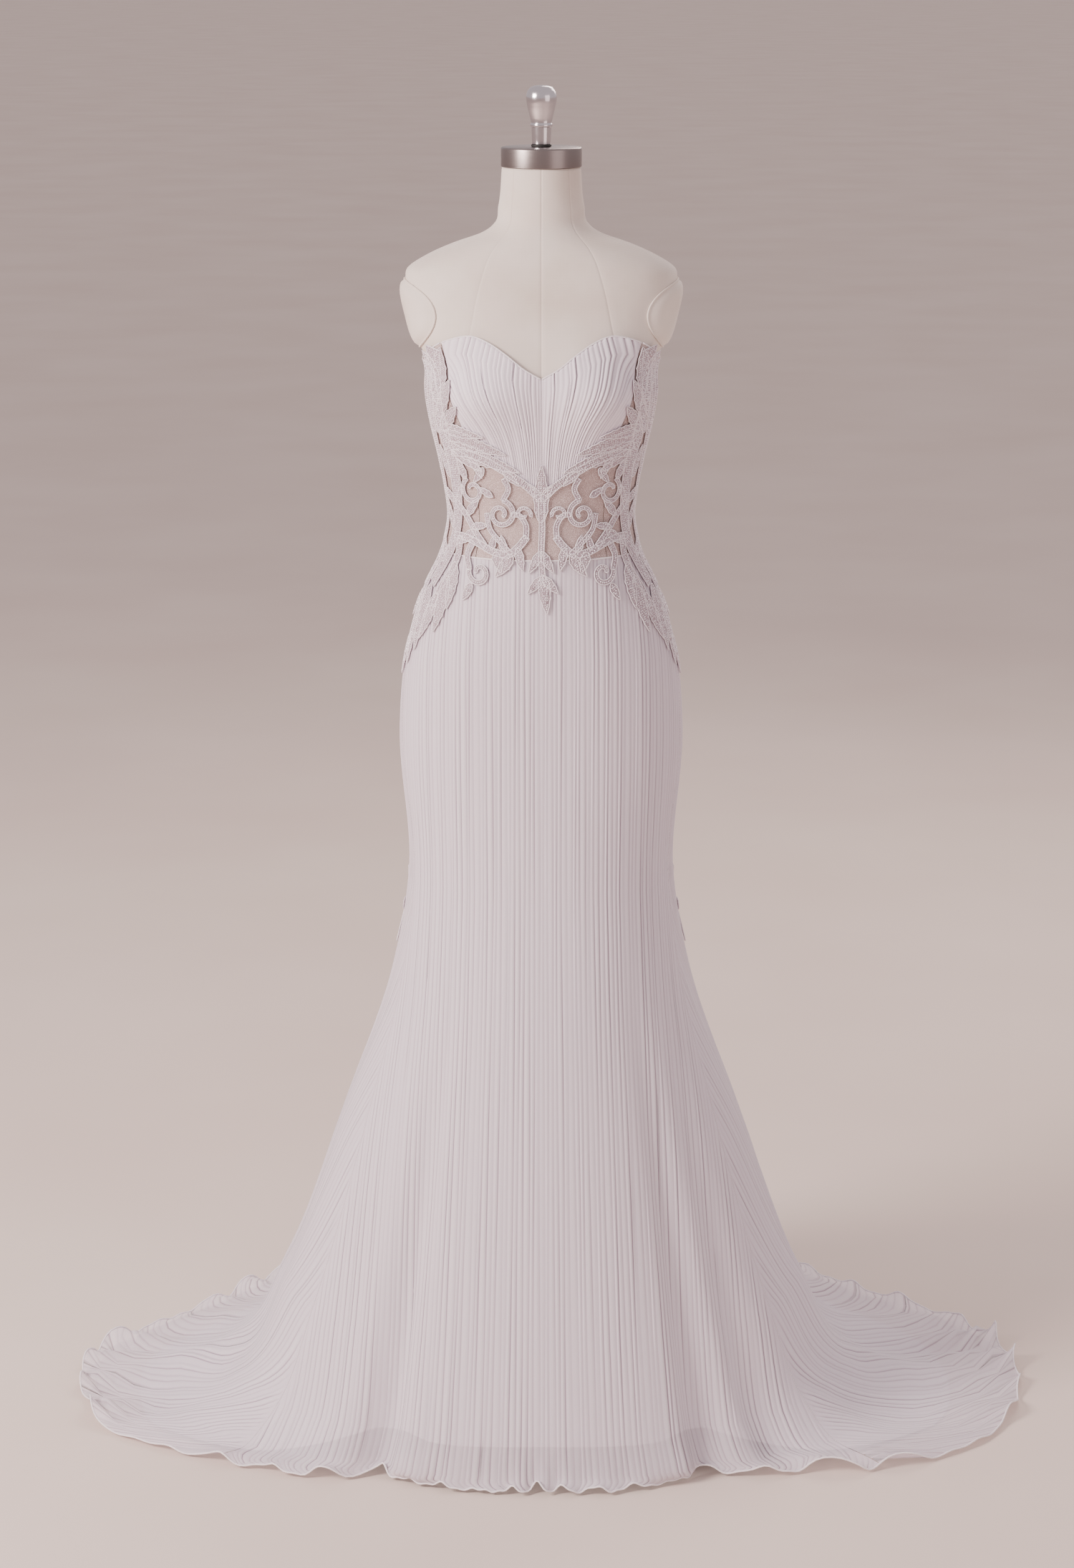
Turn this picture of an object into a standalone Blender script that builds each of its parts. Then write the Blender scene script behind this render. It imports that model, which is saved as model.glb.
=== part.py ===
"""A strapless mermaid gown of pleated chiffon with corded lace, on its limbless dress form.

Metres, +Z up. The origin is on the floor under the form's axis. The front faces -Y and +X is to the
viewer's right. Angles round the figure run from 0 at the centre front, through +90 degrees at +X, to 180
at the centre back.
"""

import math

import bmesh
import bpy
import numpy as np
from mathutils import Vector
from mathutils.bvhtree import BVHTree
from mathutils.geometry import delaunay_2d_cdt

GOWN = "mermaid_gown_on_dress_form"

# Cloth walls and clearances.
CHIFFON = 0.0012
MESH_WALL = 0.0010
SLIP_WALL = 0.0010
SEAM_GAP = 0.0005
EASE = 0.0048
SLIP_DROP = 0.0050
SLIP_TACKED_DROP = 0.0027
PLEAT_RELIEF = 0.0009

# The padded form: height, half width, depth to the front, depth to the back, squareness of the section.
FORM_SECTIONS = (
    (1.6170, 0.0480, 0.0470, 0.0480, 2.0),
    (1.5700, 0.0525, 0.0498, 0.0550, 2.0),
    (1.5480, 0.0585, 0.0535, 0.0640, 2.0),
    (1.5370, 0.0740, 0.0600, 0.0740, 2.0),
    (1.5250, 0.1085, 0.0670, 0.0820, 2.1),
    (1.5070, 0.1475, 0.0750, 0.0890, 2.2),
    (1.4960, 0.1635, 0.0785, 0.0915, 2.2),
    (1.4820, 0.1666, 0.0830, 0.0940, 2.3),
    (1.4372, 0.1605, 0.0970, 0.1000, 2.3),
    (1.4020, 0.1495, 0.1080, 0.1020, 2.3),
    (1.3850, 0.1405, 0.1110, 0.1020, 2.3),
    (1.3490, 0.1398, 0.1120, 0.1010, 2.2),
    (1.3140, 0.1322, 0.1060, 0.0985, 2.2),
    (1.2600, 0.1197, 0.0970, 0.0925, 2.1),
    (1.2240, 0.1128, 0.0920, 0.0880, 2.1),
    (1.1880, 0.1095, 0.0905, 0.0865, 2.1),
    (1.1490, 0.1180, 0.0955, 0.0930, 2.1),
    (1.0980, 0.1420, 0.1035, 0.1060, 2.1),
    (1.0240, 0.1632, 0.1100, 0.1220, 2.2),
    (0.9300, 0.1732, 0.1120, 0.1300, 2.2),
    (0.8200, 0.1680, 0.1120, 0.1200, 2.2),
)
BUST_RISE = 0.019
BUST_ANGLE = 33.0
BUST_SPREAD = 21.0
BUST_HEIGHT = 1.350
BUST_REACH = 0.044

# The gown's edges: angle from the centre front, height.
NECKLINE = (
    (0.0, 1.3730),
    (10.0, 1.3850),
    (20.0, 1.4010),
    (31.0, 1.4150),
    (42.0, 1.4225),
    (54.0, 1.4160),
    (68.0, 1.3990),
    (90.0, 1.3800),
    (120.0, 1.3500),
    (150.0, 1.3330),
    (180.0, 1.3280),
)
FRONT_V = ((0.0, 1.2300), (8.0, 1.2400), (24.0, 1.2580), (46.0, 1.2860))
CUP_EDGE_TOP = 57.0
CUP_EDGE_LOW = 46.0
SIDE_BACK = 104.0
WAIST_SEAM = 1.1490
PLACKET_HALF = 0.0110
PLACKET_WALL = 0.0012

# Skirt stations below the hip: height and radius at the front, the side and the back, then squareness.
SKIRT_STATIONS = (
    (0.730, 0.730, 0.730, 0.1330, 0.1686, 0.1560, 2.2),
    (0.600, 0.600, 0.600, 0.1600, 0.1915, 0.2050, 2.1),
    (0.400, 0.405, 0.410, 0.2035, 0.2590, 0.2850, 2.0),
    (0.180, 0.185, 0.195, 0.2510, 0.3430, 0.3900, 2.0),
    (0.060, 0.062, 0.070, 0.2770, 0.4130, 0.4750, 2.0),
    (0.021, 0.016, 0.018, 0.2860, 0.4900, 0.5500, 2.0),
)
BODY_STATIONS = (WAIST_SEAM, 1.098, 1.024, 0.930)
HEM_TOP = 0.0034

# The hem's reach on the floor: angle from the centre front, radius on the left, radius on the right.
HEM_REACH = (
    (0.0, 0.2910, 0.2910),
    (20.0, 0.3030, 0.3060),
    (38.0, 0.3250, 0.3200),
    (50.0, 0.3880, 0.3800),
    (60.0, 0.4350, 0.4600),
    (70.0, 0.5000, 0.5450),
    (80.0, 0.5780, 0.6050),
    (90.0, 0.6080, 0.6350),
    (102.0, 0.6250, 0.6530),
    (113.0, 0.5880, 0.6340),
    (125.0, 0.5600, 0.5900),
    (145.0, 0.5750, 0.5850),
    (165.0, 0.6100, 0.6130),
    (180.0, 0.6250, 0.6250),
)

# The side seam of the skirt: its angle at each station, from the waist down to the hem.
SIDE_SEAM = (84.0, 84.0, 83.5, 81.0, 74.0, 70.5, 67.0, 66.0, 65.0, 64.0, 63.0)

# Deep folds of the skirt: angle, depth at the hem, half width in degrees, height where the fold starts.
FOLDS = (
    (-41.0, 0.034, 5.0, 0.62),
    (-56.0, 0.010, 6.0, 0.40),
    (-88.0, 0.014, 7.0, 0.36),
    (-122.0, 0.030, 8.0, 0.50),
    (-150.0, 0.024, 8.0, 0.50),
    (42.0, 0.032, 4.6, 0.62),
    (55.0, 0.022, 4.6, 0.58),
    (78.0, 0.012, 6.0, 0.40),
    (100.0, 0.014, 7.0, 0.36),
    (126.0, 0.030, 8.0, 0.50),
    (152.0, 0.024, 8.0, 0.50),
)

# Long ridges where the train lies on the floor: angle, height, half width in degrees, share of the height.
TRAIN_RIDGES = (
    (-72.0, 0.010, 6.0, 1.0),
    (-97.0, 0.020, 5.0, 1.0),
    (-118.0, 0.014, 6.0, 1.0),
    (-140.0, 0.018, 6.0, 1.0),
    (-163.0, 0.012, 6.0, 1.0),
    (68.0, 0.011, 6.0, 1.0),
    (94.0, 0.021, 5.0, 1.0),
    (113.0, 0.012, 6.0, 1.0),
    (136.0, 0.018, 6.0, 1.0),
    (160.0, 0.013, 6.0, 1.0),
)
HEM_WAVES = 44
HEM_WAVE_HEIGHT = 0.013

# Pleats: their spacing along the cloth at each station, from the waist down to the hem.
FRONT_PITCH = (0.0143, 0.0144, 0.0145, 0.0147, 0.0150, 0.0156, 0.0171, 0.0188, 0.0202, 0.0212, 0.0238)
BACK_PITCH = (0.0150, 0.0153, 0.0158, 0.0166, 0.0186, 0.0220, 0.0304, 0.0392, 0.0462, 0.0530, 0.0630)
CUP_PLEATS = 10
CUP_ROWS = 6
WAIST_ROWS = 3

# Where the slip ends: angle, and its place between the skirt's stations (the hem is the last station).
SLIP_END = (
    (0.0, 8.05),
    (45.0, 8.15),
    (62.0, 9.06),
    (80.0, 9.45),
    (110.0, 9.50),
    (150.0, 9.30),
    (180.0, 9.30),
)
SLIP_START = 6
SLIP_ROWS = 4

# Hardware of the form.
CAP_RADIUS = 0.0492
CAP_HEIGHT = 0.0235
CAP_BASE = 1.6176
WASHER_RADIUS = 0.0125
WASHER_HEIGHT = 0.0030
FINIAL_HEIGHT = 0.0700
POLE_RADIUS = 0.0160
BASE_RADIUS = 0.1500
BASE_HEIGHT = 0.0120
PLATE_THICKNESS = 0.0042
PLATE_CLEAR = 0.0026
BUTTONS = 10
BUTTON_RADIUS = 0.0055
BUTTON_DOME = 0.0040
BUTTON_CLEAR = 0.0003

LACE_THICKNESS = 0.0018
LACE_CLEAR = 0.0012


def srgb(hex_colour):
    """Linear RGBA from an sRGB hex colour."""
    channels = [int(hex_colour[i:i + 2], 16) / 255 for i in (1, 3, 5)]
    return [c / 12.92 if c <= 0.04045 else ((c + 0.055) / 1.055) ** 2.4 for c in channels] + [1.0]


def make_material(name, hex_colour, roughness, metallic=0.0):
    material = bpy.data.materials.new(name)
    material.use_nodes = True
    shader = material.node_tree.nodes["Principled BSDF"]
    shader.inputs["Base Color"].default_value = srgb(hex_colour)
    shader.inputs["Roughness"].default_value = roughness
    shader.inputs["Metallic"].default_value = metallic
    return material


def clear_scene():
    for obj in list(bpy.data.objects):
        bpy.data.objects.remove(obj, do_unlink=True)


def smooth_columns(rows, at):
    """Columns of a table at the given keys, on smooth curves through its rows; the first column is the key."""
    table = np.array(sorted(rows), float)
    keys = table[:, 0]
    slopes = np.gradient(table[:, 1:], keys, axis=0)
    at = np.clip(np.atleast_1d(np.asarray(at, float)), keys[0], keys[-1])
    low = np.clip(np.searchsorted(keys, at, side="right") - 1, 0, len(keys) - 2)
    span = (keys[low + 1] - keys[low])[:, None]
    t = ((at - keys[low])[:, None]) / span
    start, end = table[low, 1:], table[low + 1, 1:]
    rise = (2 * t**3 - 3 * t**2 + 1) * start + (3 * t**2 - 2 * t**3) * end
    bend = (t**3 - 2 * t**2 + t) * span * slopes[low] + (t**3 - t**2) * span * slopes[low + 1]
    return rise + bend


def straight_column(rows, at):
    """The second column of a two-column table at the given keys, on straight lines."""
    return np.interp(at, [row[0] for row in rows], [row[1] for row in rows])


def section_radius(angles, side, front, back, squareness):
    """Radius of a squared ellipse at each angle, with its own depth to the front and to the back."""
    turn = np.radians(angles)
    depth = np.where(np.cos(turn) > 0, front, back)
    across = (np.abs(np.sin(turn)) / side) ** squareness
    along = (np.abs(np.cos(turn)) / depth) ** squareness
    return (across + along) ** (-1 / squareness)


def body_radius(angles, heights):
    """Radius of the padded form at each angle and height, with its two bust mounds."""
    angles, heights = np.broadcast_arrays(np.asarray(angles, float), np.asarray(heights, float))
    side, front, back, squareness = smooth_columns(FORM_SECTIONS, heights.ravel()).T.reshape(4, *heights.shape)
    radius = section_radius(angles, side, front, back, squareness)
    apart = (np.abs(angles) - BUST_ANGLE) / BUST_SPREAD
    level = (heights - BUST_HEIGHT) / BUST_REACH
    return radius + BUST_RISE * np.exp(-apart**2 - level**2)


def round_point(angles, radius, heights):
    """Points at the given angles, radii and heights, as an array with x, y, z last."""
    turn = np.radians(angles)
    return np.stack(np.broadcast_arrays(radius * np.sin(turn), -radius * np.cos(turn), heights), axis=-1)


def body_point(angles, heights, clearance):
    return round_point(angles, body_radius(angles, heights) + clearance, heights)


def neckline(angles):
    return smooth_columns(NECKLINE, np.abs(angles))[:, 0]


def hem_radius(angles):
    left, right = smooth_columns(HEM_REACH, np.abs(angles)).T
    return np.where(np.asarray(angles) < 0, left, right)


def wrapped(angles):
    """Angles brought into the range from -180 to 180 degrees."""
    return (np.asarray(angles, float) + 180.0) % 360.0 - 180.0


def bumps(angles, table, height):
    """Sum of a table's soft bumps at each angle; each row holds an angle, a size, a half width and a start."""
    total = np.zeros(np.shape(angles))
    for centre, size, spread, start in table:
        grown = np.clip((start - height) / start, 0.0, 1.0)
        total = total + size * grown**1.3 * np.exp(-(wrapped(angles - centre) / spread) ** 2)
    return total


def hem_wave(angles):
    """Lift of the rolled hem, as a share from 0 to 1, with waves of uneven length."""
    turn = np.radians(angles)
    phase = HEM_WAVES * turn + 1.3 * np.sin(3 * turn + 0.6) + 0.9 * np.sin(7 * turn)
    return 0.5 + 0.5 * np.cos(phase)


def skirt_rings(angles, folds, ridges):
    """The skirt's outer surface at every station: an array of station, angle and x, y, z."""
    rings = []
    for height in BODY_STATIONS:
        rings.append(round_point(angles, body_radius(angles, height) + EASE, height))
    sideways = np.sin(np.radians(angles)) ** 2
    to_front = np.cos(np.radians(angles)) > 0
    for z_front, z_side, z_back, front, side, back, squareness in SKIRT_STATIONS:
        height = np.where(to_front, z_front, z_back) * (1 - sideways) + z_side * sideways
        radius = section_radius(angles, side, front, back, squareness)
        radius = radius - bumps(angles, folds, z_side)
        on_floor = np.clip((0.09 - z_side) / 0.06, 0.0, 1.0)
        height = height + on_floor * bumps(angles, ridges, 0.0)
        rings.append(round_point(angles, radius, height))
    radius = hem_radius(angles) - 0.6 * bumps(angles, folds, 0.0) * (np.abs(angles) < 60)
    lift = HEM_WAVE_HEIGHT * hem_wave(angles)
    rings.append(round_point(angles, radius, HEM_TOP + lift))
    return np.array(rings)


RING_ANGLES = np.arange(-180.0, 180.5, 1.0)
# The slip follows the same folds, softer and wider, so that it stays inside the pleated cloth.
SLIP_FOLDS = [(angle, 1.15 * depth, 1.9 * spread, start) for angle, depth, spread, start in FOLDS]
RINGS = skirt_rings(RING_ANGLES, FOLDS, TRAIN_RIDGES)
SLIP_RINGS = skirt_rings(RING_ANGLES, SLIP_FOLDS, [])
STATIONS = len(RINGS)


def ring_normals(rings):
    """Outward unit normals of the rings' surface."""
    along = np.gradient(rings, axis=0)
    around = np.gradient(rings, axis=1)
    around[:, 0] = around[:, -1] = rings[:, 1] - rings[:, -2]
    normals = np.cross(around, along)
    normals /= np.linalg.norm(normals, axis=2, keepdims=True)
    centre = np.array([0.0, 0.0, -0.4])
    outward = np.sum(normals * (rings - centre), axis=2, keepdims=True)
    return normals * np.sign(outward)


RING_NORMALS = ring_normals(RINGS)
SLIP_NORMALS = ring_normals(SLIP_RINGS)


def ring_at(station, angles, rings=RINGS, normals=RING_NORMALS):
    """Point and normal on one station's ring at the given angles."""
    angles = wrapped(angles)
    point = [np.interp(angles, RING_ANGLES, rings[station, :, axis]) for axis in range(3)]
    normal = [np.interp(angles, RING_ANGLES, normals[station, :, axis]) for axis in range(3)]
    return np.stack(point, axis=-1), np.stack(normal, axis=-1)


def slip_point(station, angle, drop=SLIP_DROP):
    """Point on the slip, which hangs inside the skirt and clears the bottoms of its folds."""
    low = min(int(station), STATIONS - 2)
    share = station - low
    first, first_normal = ring_at(low, angle, SLIP_RINGS, SLIP_NORMALS)
    second, second_normal = ring_at(low + 1, angle, SLIP_RINGS, SLIP_NORMALS)
    normal = first_normal * (1 - share) + second_normal * share
    return first * (1 - share) + second * share - drop * normal


def arc_table(station, origin, turn, reach=190.0):
    """Angles and the arc length to each, walking round one station's ring from the origin angle."""
    angles = origin + turn * np.arange(0.0, reach, 0.5)
    points, _ = ring_at(station, angles)
    steps = np.linalg.norm(np.diff(points, axis=0), axis=1)
    return angles, np.concatenate([[0.0], np.cumsum(steps)])


def add_object(name, mesh, material, parts):
    mesh.materials.clear()
    mesh.materials.append(material)
    obj = bpy.data.objects.new(name, mesh)
    parts.objects.link(obj)
    return obj


def face_outwards(bm, centre):
    """Turns every face of an open sheet so that its normal points away from the centre."""
    bm.normal_update()
    middle = Vector(centre)
    away = sum(face.normal.dot(face.calc_center_median() - middle) * face.calc_area() for face in bm.faces)
    if away < 0:
        bmesh.ops.reverse_faces(bm, faces=bm.faces)


def sheet_object(name, bm, material, parts, thickness, grow, centre):
    """An open sheet with a wall: grow is -1 for a wall inside the sheet, 1 for one outside it."""
    face_outwards(bm, centre)
    bmesh.ops.triangulate(bm, faces=bm.faces)
    mesh = bpy.data.meshes.new(name)
    bm.to_mesh(mesh)
    bm.free()
    mesh.shade_smooth()
    obj = add_object(name, mesh, material, parts)
    wall = obj.modifiers.new("wall", "SOLIDIFY")
    wall.thickness = thickness
    wall.offset = grow
    return obj


def grid_sheet(name, columns, rows, place, material, parts, thickness, centre, grow=-1):
    """A sheet whose points are place(p, s), with p across and s up, both from 0 to 1."""
    bm = bmesh.new()
    bmesh.ops.create_grid(bm, x_segments=columns, y_segments=rows, size=0.5)
    bm.verts.ensure_lookup_table()
    p = np.array([vert.co.x + 0.5 for vert in bm.verts])
    s = np.array([vert.co.y + 0.5 for vert in bm.verts])
    for vert, point in zip(bm.verts, place(p, s)):
        vert.co = point
    return sheet_object(name, bm, material, parts, thickness, grow, centre)


def cut_strip(bm, station, starts, ends):
    """One strip of pleated cloth between two stations, flat, cut along both of its seams.

    Across the strip the unit is half a pleat, and down it the unit is a station.
    """
    first = math.floor(min(starts)) - 1
    last = math.ceil(max(ends)) + 1
    made = bmesh.ops.create_grid(bm, x_segments=last - first, y_segments=1, size=0.5)["verts"]
    for vert in made:
        vert.co.x = first + (vert.co.x + 0.5) * (last - first)
        vert.co.y = station + vert.co.y + 0.5
    strip = set(made)
    for (upper, lower), side in ((starts, -1), (ends, 1)):
        faces = {face for vert in strip if vert.is_valid for face in vert.link_faces}
        edges = {edge for face in faces for edge in face.edges}
        verts = {vert for face in faces for vert in face.verts}
        across = Vector((1.0, upper - lower, 0.0)).normalized() * side
        cut = bmesh.ops.bisect_plane(
            bm, geom=list(faces) + list(edges) + list(verts), dist=1e-6,
            plane_co=(upper, station, 0.0), plane_no=across, clear_outer=True)
        strip = {vert for vert in verts if vert.is_valid}
        strip |= {item for item in cut["geom_cut"] if isinstance(item, bmesh.types.BMVert)}


def pleat_height(index):
    """Ridges and valleys by turns, a little uneven."""
    side = 1.0 if index % 2 else -1.0
    return side * (0.78 + 0.22 * math.sin(2.4 * index))


def pleated_panel(name, origin, turn, starts, ends, pitches, material, parts):
    """Pleated cloth whose pleats run beside a line at the origin angle, cut by its seams and mapped round.

    starts and ends give the arc length from the origin line to each seam, at every station.
    """
    half_pleats = np.array(pitches) / 2
    first_cut, last_cut = starts / half_pleats, ends / half_pleats
    bm = bmesh.new()
    for station in range(STATIONS - 1):
        cut_strip(bm, station, first_cut[station:station + 2], last_cut[station:station + 2])
    bmesh.ops.remove_doubles(bm, verts=bm.verts, dist=0.06)
    tables = []
    for station in range(STATIONS):
        right = arc_table(station, origin, turn)
        left = arc_table(station, origin, -turn)
        arcs = np.concatenate([-left[1][:0:-1], right[1]])
        tables.append((arcs, np.concatenate([left[0][:0:-1], right[0]])))
    for vert in bm.verts:
        across, place = vert.co.x, vert.co.y
        low = min(int(place + 1e-6), STATIONS - 2)
        share = place - low
        begin = first_cut[low] * (1 - share) + first_cut[low + 1] * share
        end = last_cut[low] * (1 - share) + last_cut[low + 1] * share
        part = min(max((across - begin) / (end - begin), 0.0), 1.0)
        index = round(across)
        on_seam = part < 1e-4 or part > 1 - 1e-4 or abs(across - index) > 0.02
        calm = min(1.0, (across - begin) / 2.5, (end - across) / 2.5)
        relief = 0.0 if on_seam else calm * PLEAT_RELIEF * pleat_height(index)
        total = np.zeros(3)
        for station, weight in ((low, 1 - share), (low + 1, share)):
            arc = starts[station] + part * (ends[station] - starts[station])
            point, normal = ring_at(station, np.interp(arc, *tables[station]))
            total += weight * (point + relief * normal)
        vert.co = total
    return sheet_object(name, bm, material, parts, CHIFFON, -1, (0.0, 0.0, -0.4))


def skirt_panels(materials, parts):
    """The skirt's front and its two backs, with side seams and a centre-back seam."""
    reach = {}
    for origin, turn in ((0.0, 1), (0.0, -1), (180.0, 1), (180.0, -1)):
        arcs = []
        for station, seam in enumerate(SIDE_SEAM):
            angles, lengths = arc_table(station, origin, turn)
            swept = seam if origin == 0.0 else 180.0 - seam
            arcs.append(float(np.interp(swept, np.abs(angles - origin), lengths)) - SEAM_GAP)
        reach[origin, turn] = np.array(arcs)
    backs = np.full(STATIONS, SEAM_GAP / 2)
    chiffon = materials["chiffon"]
    pleated_panel("skirt_front", 0.0, 1, -reach[0.0, -1], reach[0.0, 1], FRONT_PITCH, chiffon, parts)
    pleated_panel("skirt_back_left", 180.0, 1, backs, reach[180.0, 1], BACK_PITCH, chiffon, parts)
    pleated_panel("skirt_back_right", 180.0, -1, backs, reach[180.0, -1], BACK_PITCH, chiffon, parts)


def slip_panels(materials, parts):
    """The opaque slip under the chiffon, from mid calf, where it is tacked, down to its own edge."""
    middle = (0.0, 0.0, -0.4)
    half_gap = 0.045

    def panel(name, first, last, columns):
        def place(p, s):
            points = []
            for across, down in zip(p, s):
                angle = first + half_gap + across * (last - first - 2 * half_gap)
                end = float(straight_column(SLIP_END, abs(wrapped(angle))))
                row = round((1 - down) * SLIP_ROWS)
                station = end if row == SLIP_ROWS else min(SLIP_START + row, end - 0.04)
                points.append(slip_point(station, angle, SLIP_DROP if row else SLIP_TACKED_DROP))
            return points

        grid_sheet(name, columns, SLIP_ROWS, place, materials["satin"], parts, SLIP_WALL, middle)

    panel("slip_front", -64.0, 64.0, 24)
    panel("slip_back_right", 64.0, 180.0, 18)
    panel("slip_back_left", -180.0, -64.0, 18)


def cup_column(low, top, s):
    """Angle and height at the share s up a cup's pleat that starts at the angle low and ends at top."""
    angles = low + (top - low) * (0.6 * s + 0.4 * s**2.2)
    bottom = straight_column(FRONT_V, low) + SEAM_GAP / 2
    return angles, bottom + (neckline(top) - bottom) * s


def bodice_panels(materials, parts):
    """Pleated cups, mesh waist and sides, and mesh back, on the form's own surface."""
    middle = (0.0, 0.0, 1.25)
    gap = math.degrees(SEAM_GAP / 0.12)

    def cup(side):
        def place(p, s):
            top = gap / 2 + p * (CUP_EDGE_TOP - gap)
            low = gap / 2 + p * (CUP_EDGE_LOW - gap)
            angles, heights = cup_column(low, top, s)
            index = np.round(p * 2 * CUP_PLEATS).astype(int)
            inside = (index > 0) & (index < 2 * CUP_PLEATS)
            relief = np.array([pleat_height(i) for i in index]) * inside * PLEAT_RELIEF
            return body_point(side * angles, heights, EASE + relief)

        return place

    for side, word in ((-1, "left"), (1, "right")):
        grid_sheet(f"bodice_front_{word}", 2 * CUP_PLEATS, CUP_ROWS, cup(side), materials["chiffon"], parts,
                   CHIFFON, middle)

    def waist(p, s):
        angles = (2 * p - 1) * (CUP_EDGE_LOW - gap)
        low = WAIST_SEAM + SEAM_GAP
        top = straight_column(FRONT_V, np.abs(angles)) - SEAM_GAP / 2
        return body_point(angles, low + (top - low) * s, EASE)

    grid_sheet("waist_mesh_front", 14, WAIST_ROWS, waist, materials["mesh"], parts, MESH_WALL, middle)

    def side_place(side):
        def place(p, s):
            low = WAIST_SEAM + SEAM_GAP
            row = s * (WAIST_ROWS + CUP_ROWS)
            climb = np.clip((row - WAIST_ROWS) / CUP_ROWS, 0.0, 1.0)
            front, front_heights = cup_column(CUP_EDGE_LOW + 2 * gap, CUP_EDGE_TOP + 2 * gap, climb)
            below = low + (front_heights - low) * row / WAIST_ROWS
            front_heights = np.where(row < WAIST_ROWS, below, front_heights)
            share = (front_heights - low) / (neckline(np.full_like(s, CUP_EDGE_TOP + 2 * gap)) - low)
            angles = front + (SIDE_BACK - gap / 2 - front) * p
            heights = low + (neckline(angles) - low) * share
            return body_point(side * angles, heights, EASE)

        return place

    def back_place(side):
        def place(p, s):
            low = WAIST_SEAM + SEAM_GAP
            last = 180.0 - math.degrees(SEAM_GAP / 0.18)
            angles = SIDE_BACK + gap / 2 + p * (last - SIDE_BACK - gap / 2)
            return body_point(side * angles, low + (neckline(angles) - low) * s, EASE)

        return place

    for side, word in ((-1, "left"), (1, "right")):
        grid_sheet(f"bodice_side_{word}", 6, WAIST_ROWS + CUP_ROWS, side_place(side), materials["mesh"], parts,
                   MESH_WALL, middle)
        grid_sheet(f"bodice_back_{word}", 8, 4, back_place(side), materials["mesh"], parts,
                   MESH_WALL, middle)


def placket(materials, parts):
    """A narrow strip over the centre-back seam, with its column of covered buttons."""
    middle = (0.0, 0.0, 1.25)
    low = WAIST_SEAM + 0.004
    top = float(neckline([180.0])[0]) - 0.003
    outermost = outer_surface(["bodice_back_left", "bodice_back_right"])

    def strip(p, s):
        angles = 180.0 + np.degrees((2 * p - 1) * PLACKET_HALF / 0.10)
        heights = low + (top - low) * s
        return [outermost(angle, height, LACE_CLEAR) for angle, height in zip(angles, heights)]

    grid_sheet("back_placket", 2, 7, strip, materials["satin"], parts, PLACKET_WALL, middle, grow=1)
    on_strip = outer_surface(["back_placket"], reach=BUTTON_RADIUS)
    for number in range(BUTTONS):
        height = low + (top - low) * (number + 0.6) / (BUTTONS + 0.2)
        foot = on_strip(180.0, height, PLACKET_WALL + BUTTON_CLEAR)
        slope = (float(body_radius(180.0, height + 0.004)) - float(body_radius(180.0, height - 0.004))) / 0.008
        tilt = -math.atan(slope)
        bpy.ops.mesh.primitive_cone_add(
            vertices=8, radius1=BUTTON_RADIUS, radius2=BUTTON_RADIUS * 0.45, depth=BUTTON_DOME,
            location=(0.0, foot.y + BUTTON_DOME / 2 * math.cos(tilt), foot.z + BUTTON_DOME / 2 * math.sin(tilt)),
            rotation=(math.radians(-90.0) + tilt, 0.0, 0.0))
        button = bpy.context.active_object
        button.name = f"button_{number + 1:02d}"
        move_to_parts(button, materials["satin"], parts)


def move_to_parts(obj, material, parts):
    for collection in list(obj.users_collection):
        collection.objects.unlink(obj)
    parts.objects.link(obj)
    obj.data.materials.clear()
    obj.data.materials.append(material)
    obj.data.shade_smooth()
    obj.data.set_sharp_from_angle(angle=math.radians(35))


def turned(name, profile, material, parts, steps):
    """A turned piece: profile points are radius and height, from the top centre down its outer side."""
    mesh = bpy.data.meshes.new(name)
    bm = bmesh.new()
    verts = [bm.verts.new((radius, 0.0, height)) for radius, height in profile]
    for first, second in zip(verts, verts[1:]):
        bm.edges.new((first, second))
    bm.to_mesh(mesh)
    bm.free()
    obj = add_object(name, mesh, material, parts)
    screw = obj.modifiers.new("turn", "SCREW")
    screw.steps = steps
    screw.render_steps = steps
    screw.use_merge_vertices = True
    screw.merge_threshold = 0.00002
    screw.use_smooth_shade = True
    return obj


def torso(materials, parts):
    """The padded form: a stack of sections from the hip to the top of the neck, closed above and below."""
    columns = 28
    bm = bmesh.new()
    angles = np.arange(columns) * 360.0 / columns
    previous = None
    for height, *_ in reversed(FORM_SECTIONS):
        ring = [bm.verts.new(point) for point in body_point(wrapped(angles), np.full(columns, height), 0.0)]
        edges = [bm.edges.new((ring[i], ring[(i + 1) % columns])) for i in range(columns)]
        if previous is None:
            bmesh.ops.contextual_create(bm, geom=edges)
        else:
            bmesh.ops.bridge_loops(bm, edges=previous + edges)
        previous = edges
    bmesh.ops.contextual_create(bm, geom=previous)
    bmesh.ops.recalc_face_normals(bm, faces=bm.faces)
    bmesh.ops.triangulate(bm, faces=bm.faces)
    mesh = bpy.data.meshes.new("form_torso")
    bm.to_mesh(mesh)
    bm.free()
    mesh.shade_smooth()
    add_object("form_torso", mesh, materials["linen"], parts)


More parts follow.
